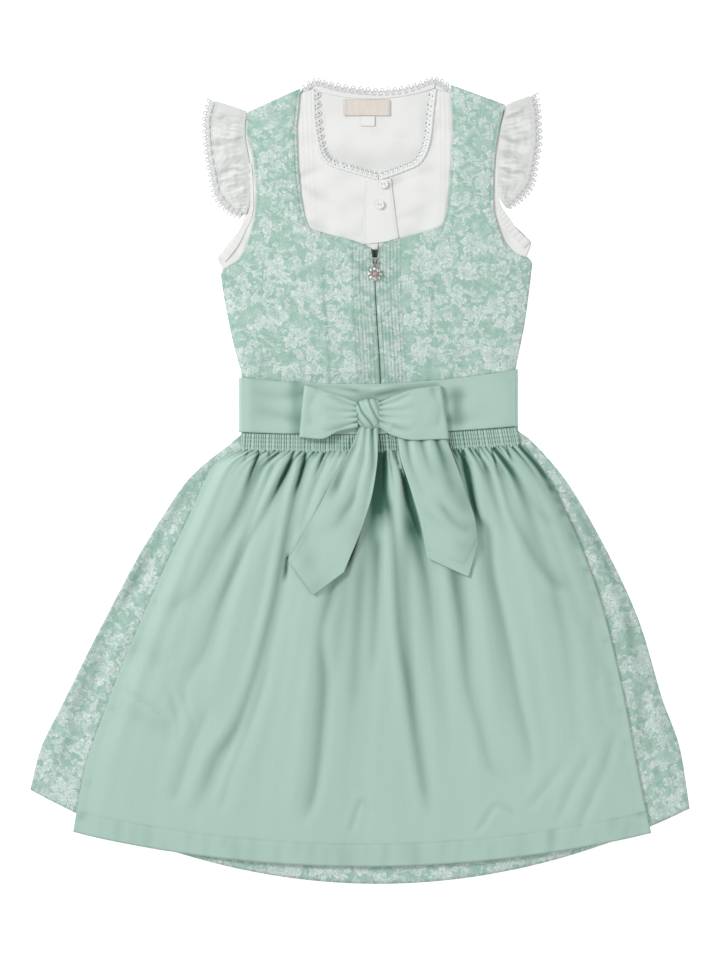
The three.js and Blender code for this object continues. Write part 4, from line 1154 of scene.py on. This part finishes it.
def sash_front_surface(u, v):
    x, y = sash_front_outline(u, v)
    from_edge = np.minimum(v, 1 - v) * SASH_DEPTH
    shape = (folds(x, y, SASH_FOLDS, 0.4) + 0.25 * rumple(x, y, 55, 51)) * smooth(0, 6, from_edge)
    inside = smooth(4, 16, np.minimum(x - SASH_LEFT, SASH_RIGHT - x))
    edge = bell((from_edge - 1.6) / 0.9)
    z = sash_height(x) + CLOTH + np.maximum(shape, -0.3) * inside + 0.15 * edge
    # painted sheen: soft bands of painted highlight and shade across the band
    sheen = 0.16 * np.sin(x / 14 + 0.8 * np.sin(y / 17)) * np.sin(x / 37 + 1)
    # painted shade on the band beside the two loops and above the knot
    sheltered = 0.6 * bell((x - 97) / 8) * smooth(44, 60, y) * smooth(102, 84, y)
    sheltered = sheltered + 0.55 * bell((x + 64) / 8)
    sheltered = sheltered + 0.5 * bell((x - 7) / 26) * bell((y - 84) / 8)
    creased = np.clip(-shape * 0.42, -0.3, 0.8) + sheen * inside
    return x, y, z, creased * (1 - 1.4 * np.clip(sheltered, 0, 0.7)) + 0.10 * edge + sheltered


def sash_back_surface(u, v):
    x, y = sash_back_outline(u, v)
    return x, y, 1.2 + 0 * x, 0 * x


def tail_base(y):
    tail = on_skirt(0) + APRON_LOFT + CLOTH + 0.5
    return lerp(BOW + 0.6, tail, smooth(46, 27, y)) + CLOTH


TAIL_LEFT_FOLDS = [
    ([(12, 50), (13, 20), (8, -14), (0, -44)], (2, 5), (2.6, 0.8), 0.6),
    ([(6, 52), (4, 24), (-3, -4), (-12, -36)], (2, 6), (2.4, 0.6), 0.6),
    ([(1, 52), (-6, 28), (-18, 2), (-34, -26)], (2, 7), (1.8, 0.4)),
    ([(-8, 30), (-20, 10), (-26, -14)], (3, 5), (1.0, 0.4)),
    ([(-14, -30), (-30, -50), (-46, -56)], (5, 7), (0.7, 0.3)),
]
TAIL_RIGHT_FOLDS = [
    ([(46, 44), (50, 20), (60, -6), (68, -24)], (2.5, 7), (1.9, 0.5)),
    ([(60, 44), (66, 20), (78, -10)], (3, 7), (1.5, 0.4)),
    ([(76, 42), (84, 16), (96, -20)], (3, 7), (1.6, 0.4)),
    ([(84, -30), (96, -44), (112, -52)], (4, 6), (0.9, 0.4)),
    ([(70, -34), (90, -52), (104, -72)], (5, 6), (0.6, 0.3), 0.4),
]


def tail_surface(outline, table, seed, hemmed, shade):
    def surface(u, v):
        x, y = outline(u, v)
        edge = np.minimum(u, 1 - u) * SASH_DEPTH
        tip = (1 - v) * 128
        shape = folds(x, y, table, 0.5) + 0.4 * rumple(x, y, 34, seed)
        hem = hemmed * bell((tip - 9) / 0.9) + 0.3 * bell((edge - 3) / 0.8) * smooth(60, 20, tip)
        shape_z = np.maximum(shape, -1.5) * smooth(-3, 8, np.minimum(edge, tip))
        # painted sheen bands, painted shade in the folds and along the hems, and painted shade growing
        # towards one side
        sheen = 0.15 * np.sin((x * 0.9 + y * 0.35) / 9 + seed)
        deep = np.clip(-shape * 0.42, -0.35, 0.9) + 0.22 * hem + sheen + shade * u
        return x, y, tail_base(y) + shape_z + 0.9 - 0.2 * hem, deep

    return surface


# ---------- bow ----------
def loop_surface(outline, creases, seed):
    def surface(u, v):
        s, t, x, y, bent = doubled(outline, u, v, 0.07)
        crown = 1 - (2 * u - 1) ** 2
        lift = lerp(3.6, 6.6, smooth(0, 0.6, t)) - 1.6 * smooth(0.6, 1, t)
        shape = folds(x, y, creases, 0.6) + 0.35 * rumple(x, y, 24, seed)
        from_edge = np.minimum(u, 1 - u)
        high = BOW + lift + np.where(s > 0, shape * smooth(0.0, 0.1, from_edge), 0) + 0.9 * crown
        seam = bell((from_edge * 44 - 2) / 1.2)
        # painted shade in the folds, on the under layer and at the knot end, painted highlight towards the
        # outer fold
        deep = np.where(s > 0, np.clip(-shape * 0.42, -0.35, 0.9) + 0.1 * seam, 0.2)
        deep = deep + 0.45 * bell(t / 0.09) - 0.12 * bell((t - 0.75) / 0.2)
        return *bent(BOW + 0 * x, high), deep

    return surface


LOOP_LEFT_FOLDS = [
    ([(-3, 73), (-16, 77), (-34, 86)], (1.6, 4), (2.2, 0.5)),
    ([(-3, 69), (-18, 69), (-38, 73)], (1.6, 4.5), (2.4, 0.5)),
    ([(-3, 63), (-16, 61), (-34, 62)], (1.5, 4), (2.0, 0.4)),
    ([(-4, 58), (-20, 53), (-40, 48)], (1.6, 4), (2.3, 0.5)),
    ([(-44, 88), (-50, 70), (-48, 50)], (4, 5), (0.7, 0.5), 0.3),
]
LOOP_RIGHT_FOLDS = [
    ([(20, 74), (34, 78), (56, 88)], (1.6, 4), (2.2, 0.5)),
    ([(20, 70), (38, 70), (62, 76)], (1.6, 4.5), (2.2, 0.5)),
    ([(20, 64), (36, 62), (58, 62)], (1.5, 4), (1.9, 0.4)),
    ([(20, 59), (34, 54), (56, 48)], (1.6, 4), (2.3, 0.5)),
    ([(20, 57), (26, 54), (33, 51)], (1.8, 2.6), (-2.0, -1.2), 0.3),
    ([(72, 90), (79, 70), (77, 48)], (4, 5), (0.8, 0.5), 0.3),
]
KNOT_FOLDS = [
    ([(-2, 77), (2, 68), (10, 58), (15, 50)], (1.3, 1.5), (1.9, 1.7)),
    ([(8, 82), (12, 72), (17, 62), (21, 56)], (1.2, 1.4), (1.5, 1.5)),
    ([(-5, 68), (-1, 60), (5, 53)], (1.2, 1.3), (1.4, 1.2), 0.5),
    ([(15, 81), (18, 74), (21, 68)], (1.0, 1.2), (1.0, 1.0), 0.5),
]


def knot_surface(u, v):
    x, y = knot_outline(u, v)
    dome = np.clip(4 * u * (1 - u), 0, 1) ** 0.45 * np.clip(4 * v * (1 - v), 0, 1) ** 0.6
    shape = folds(x, y, KNOT_FOLDS, 0.6)
    # painted shade in the knot's folds and around its rim where it curves down
    deep = np.clip(-shape * 0.45, -0.3, 0.9) + 0.6 * (1 - dome) ** 2
    return x, y, BOW + CLOTH + 7.6 * dome + shape * dome, deep


# ---------- lace ----------
LACE_LAP = 1.6
TOOTH_SQUARES, LACE_ROWS = 8, 6


def lace_strip(name, stitched, toothed, height, teeth, cloth, node, sheet, drape=0.0):
    """An edging between two lines: a row of eyelets, then pointed teeth with a hole in each. Its
    stitched edge lies over the cloth it trims, and height(u) is how high that is."""

    def surface(u, v):
        inner = through(stitched, u)
        outer = through(toothed, u)
        reach_out = outer - inner
        inner = inner - LACE_LAP * reach_out / np.hypot(reach_out[:, 0], reach_out[:, 1])[:, None]
        local = (u * teeth) % 1.0
        point = 1 - np.abs(2 * local - 1) ** 1.3
        reach = np.where(v < 0.5, v * 1.1, v * lerp(0.66, 1.1, point))
        x = lerp(inner[:, 0], outer[:, 0], reach)
        y = lerp(inner[:, 1], outer[:, 1], reach)
        z = height(u) + 0.15 * np.sin(u * teeth * 2 * math.pi) + 0.4 * smooth(0.36, 0.1, v)
        return x, y, z - drape * smooth(0.3, 1, v), 0 * x

    def hole(i, j):
        column = i % TOOTH_SQUARES
        eyelet = j == 2 and column in (1, 5)
        window = j == 4 and column in (3, 4)
        nick = j == 5 and column in (0, 7)
        return eyelet or window or nick

    panel(name, surface, teeth * TOOTH_SQUARES, LACE_ROWS, 0.5, cloth, node, sheet, drop=hole)


def side_by_side(outline):
    """The two long edges of a strip, as lists of points."""
    v = np.linspace(0, 1, 25)
    return np.column_stack(outline(0 * v, v)), np.column_stack(outline(0 * v + 1, v))


# ---------- building ----------
SATIN = (apron_cloth(), "apron_satin")
BROCADE = (brocade_cloth(), "brocade")
COTTON = (cotton_cloth(), "cotton")
LACE = (lace_thread("lace_thread", 188, 230), "lace")
NECK_LACE = (lace_thread("neck_lace_thread", 220, 240), "lace")


def make_dress():
    panel("skirt_back_panel", skirt_back_surface, 60, 50, 1.0, BROCADE, "skirt_back",
          laid(662, 483, 235000))
    panel("skirt_front_panel", skirt_front_surface, 230, 110, 0.8, BROCADE, "skirt_front",
          laid(662, 483, 235000, ["skirt_back_panel"]))
    for side, outline in (("left", bodice_back_left_outline), ("right", bodice_back_right_outline)):
        node = "bodice_back_" + side
        panel(node + "_panel", bodice_back_surface(outline), 24, 60, 1.0, BROCADE, node,
              laid(158, 320, 35500))
    close = spread([(0.03, 5), (0.22, 42), (1.0, 46)])
    for side, surface, us, width, length in (
        ("right", bodice_surface(bodice_right_outline, RIGHT_SEAM, -1, 7), close, 158, 320),
        ("left", bodice_surface(bodice_left_outline, LEFT_SEAM, 1, 6), 1 - close[::-1], 161, 319),
    ):
        node = "bodice_front_" + side
        panel(node + "_panel", surface, us, 150, 0.8, BROCADE, node,
              laid(width, length, 31000, ["bodice_back_" + side + "_panel"]))


def make_blouse():
    panel("blouse_back_panel", blouse_back_surface, 60, 70, 0.7, COTTON, "blouse_back",
          laid(311, 276, 69000))
    for side, outline, tuck_line, cut in (
        ("left", blouse_left_outline, [(-48, 230), (-51, 300), (-55, 388)], (162, 270, 31000)),
        ("right", blouse_right_outline, [(84, 240), (85, 300), (84, 390)], (153, 268, 30000)),
    ):
        node = "blouse_front_" + side
        panel(node + "_panel", blouse_front_surface(outline, tuck_line), 70, 110, 0.6, COTTON, node,
              laid(*cut, ["blouse_back_panel"]))

    def placket(u, v):
        x, y = placket_outline(u, v)
        edge = bell((np.minimum(u, 1 - u) * 31 - 2) / 0.7)
        # painted shade along both edges
        return x, y, ON_BLOUSE + 0.55 + 0.12 * rumple(x, y, 20, 61) - 0.15 * edge, 0.3 * edge

    panel("button_placket", placket, 40, 60, 0.6, COTTON, "blouse_placket",
          laid(36, 67, 1900, ["blouse_front_right_panel"]))

    def neck_band(u, v):
        x, y = neck_band_outline(u, v)
        stitch = bell((np.minimum(v, 1 - v) * 6.5 - 1.2) / 0.6)
        # a faint even painted shade
        return x, y, BLOUSE_FRONT + 0.45 - 0.2 * stitch, 0.05 + 0 * x

    panel("neck_binding", neck_band, 90, 10, 0.6, COTTON, "neck_band_back",
          laid(126, 17, 790, ["blouse_back_panel"]))

    def binding(outline, tucked):
        def surface(u, v):
            x, y = outline(u, v)
            ripple = tucked * np.sin(v * 118 + 2 * np.sin(v * 9)) * smooth(0.45, 0.65, v)
            # painted shade in the ripples' hollows
            return x, y, ON_BLOUSE + 0.35 + ripple, np.clip(-ripple * 2, 0, 0.4)

        return surface

    for side, outline, tucked in (
        ("left", binding_left_outline, 0.05), ("right", binding_right_outline, 0.16),
    ):
        node = "armhole_binding_" + side
        panel(node + "_strip", binding(outline, tucked), 8, 110, 0.6, COTTON, node,
              laid(110, 10, 610, ["blouse_front_" + side + "_panel"]))
    for side, outline, inwards in (("left", frill_left_outline, 1), ("right", frill_right_outline, -1)):
        panel("sleeve_frill_" + side, frill_surface(outline, inwards), 30, 300, 0.6, COTTON,
              "frill_" + side, laid(240, 34, 7000, held="gathered"))


NECK_BACK_LACE = (
    [(-58, 387), (-43.5, 396.4), (-25, 391.8), (-3, 388.6), (19, 387), (38, 388), (57.5, 392.6),
     (73.5, 398.4), (88, 391)],
    [(-60, 394), (-44, 403), (-25, 398.6), (-3, 395), (19, 393), (38, 394.4), (57.5, 399),
     (74.5, 404.6), (91, 397)],
)
FRILL_LACE = {
    "left": (
        [(-118, 267), (-129.5, 273.4), (-141.8, 289.6), (-145.8, 307.6), (-150.4, 334.8),
         (-151.8, 358.6), (-146.6, 379)],
        [(-119.5, 260.6), (-134.8, 268), (-148.2, 285), (-152.4, 305.4), (-157, 335), (-158.4, 360),
         (-152.4, 384)],
    ),
    "right": (
        [(147, 272.6), (159, 286.6), (168.2, 299.6), (172.6, 317.6), (176, 341.8), (175.4, 366.6),
         (171.2, 384)],
        [(149.5, 270.4), (164, 280.6), (174.9, 295.6), (178.8, 317), (182.4, 342), (181.4, 368),
         (178, 390)],
    ),
}


def make_lace():
    def flat(level):
        return lambda u: level + 0.9

    def along_frill(u):
        wave = np.sin(2 * math.pi * (15 * u + 0.35 * np.sin(9 * u)))
        return FRILL_TOP + 0.4 * wave * smooth(1, 0.9, u)

    for side, outline, teeth, cut in (
        ("left", neck_lace_left_outline, 19, (128, 10, 1060)),
        ("right", neck_lace_right_outline, 18, (122, 10, 980)),
    ):
        node = "neck_lace_" + side
        lace_strip(node + "_edging", *side_by_side(outline), flat(BLOUSE_FRONT), teeth, NECK_LACE, node,
                   laid(*cut, ["blouse_back_panel"]), drape=0.95)
    lace_strip("neck_lace_back_edging", *NECK_BACK_LACE, flat(BLOUSE_BACK), 24, LACE, "neck_lace_back",
               laid(158, 10, 1190))
    for side, lines in FRILL_LACE.items():
        node = "frill_lace_" + side
        lace_strip(node + "_edging", *lines, along_frill, 23, LACE, node,
                   laid(150, 10, 1070, ["sleeve_frill_" + side]))


def make_apron():
    on_skirt_front = ["skirt_front_panel"]
    panel("apron_panel_cloth", apron_surface, 270, 160, 0.6, SATIN, "apron_panel",
          laid(600, 440, 200000, on_skirt_front, "gathered"))
    panel("apron_smocking", smock_surface, 860, 16, 0.6, SATIN, "apron_smocked_band",
          laid(420, 16, 6400, on_skirt_front, "gathered"))
    columns = spread([(0.01, 2), (0.05, 8), (0.95, 150), (0.99, 8), (1, 2)])
    panel("sash_front_band", sash_front_surface, columns, 40, 0.8, SATIN, "sash_front",
          laid(284, 56, 15000), cloth_map=on_cut(280, 55))
    panel("sash_back_band", sash_back_surface, 60, 16, 1.0, SATIN, "sash_back",
          laid(280, 53, 14800), cloth_map=on_cut(280, 55))


def make_bow():
    on_sash = ["sash_front_band"]
    for side, surface, cut in (
        ("left", loop_surface(loop_left_outline, LOOP_LEFT_FOLDS, 71), (50, 112, 4950)),
        ("right", loop_surface(loop_right_outline, LOOP_RIGHT_FOLDS, 72), (52, 124, 6400)),
    ):
        node = "bow_loop_" + side
        panel(node + "_band", surface, 40, 130, 0.7, SATIN, node,
              laid(*cut, on_sash, "folded"), cloth_map=on_cut(45, 110), turn_up=False)
    for side, surface, cut in (
        ("left", tail_surface(tail_left_outline, TAIL_LEFT_FOLDS, 73, 0.2, 0.1), (58, 150, 7200)),
        ("right", tail_surface(tail_right_outline, TAIL_RIGHT_FOLDS, 74, 0.7, 0.3), (54, 140, 7250)),
    ):
        node = "bow_tail_" + side
        panel(node + "_end", surface, 60, 110, 0.7, SATIN, node,
              laid(*cut, ["apron_panel_cloth"]), cloth_map=on_cut(52, 140))
    panel("bow_knot_wrap", knot_surface, 50, 50, 0.8, SATIN, "bow_knot",
          laid(40, 42, 1100, on_sash, "folded"), cloth_map=on_cut(52, 140))


def make_labels():
    def label(x0, y0, x1, y1, fold_in):
        def surface(u, v):
            x, y = lerp(x0, x1, u), lerp(y0, y1, v)
            edge = np.minimum(u, 1 - u) * (x1 - x0)
            raised = 0.25 * smooth(fold_in + 0.5, fold_in - 0.5, edge)
            return x, y, BLOUSE_FRONT + 0.85 + raised + 0.1 * rumple(x, y, 14, 81), 0 * x

        return surface

    on_blouse = ["blouse_back_panel"]
    panel("neck_label_tape", label(-16, 365.2, 30, 381.2, 3), 92, 24, 0.5, (label_cloth(), "label"),
          "neck_label", laid(52, 16, 830, on_blouse), cloth_map=lambda u, v, x, y: (x - 7, y - 373.2))
    panel("size_tab_tape", label(0.5, 355, 14.6, 364.8, 0.6), 30, 20, 0.5, (COTTON[0], "label"),
          "size_label", laid(14.1, 10, 141, on_blouse))


def make_closure():
    """The zip's tape, and the finish of the metal parts and buttons, which keep their own shapes."""
    (x0, y0, _), (x1, y1, top) = [[c / MM for c in corner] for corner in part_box("zip_tape")]
    y1 = min(y1 + 8, 231)
    half_tape = (x1 - x0 - abs(closure_x(y0) - closure_x(y1))) / 2

    def tape(u, v):
        y = lerp(y0, y1, v)
        x = closure_x(y) + lerp(-1, 1, u) * half_tape
        return x, y, top - 0.15 + 0.25 * bell((x - closure_x(y)) / 1.6), 0 * x

    width, length = 2 * half_tape, y1 - y0
    panel("zip_tape_strip", tape, 24, 120, 0.7, (zip_cloth(), "zip_tape"), "zip_tape",
          laid(width, length, width * length, ["blouse_front_right_panel"]),
          cloth_map=lambda u, v, x, y: (x - closure_x(y), y))
    for finish, nodes in (
        (old_silver(), ["zip_slider", "zip_charm"]),
        (rose_glass(), ["charm_stone"]),
        (button_shell(), ["blouse_button_1", "blouse_button_2"]),
    ):
        for node in nodes:
            for held in bpy.data.objects[node].material_slots:
                held.material = finish


set_up_studio()
make_dress()
make_blouse()
make_lace()
make_apron()
make_bow()
make_labels()
make_closure()
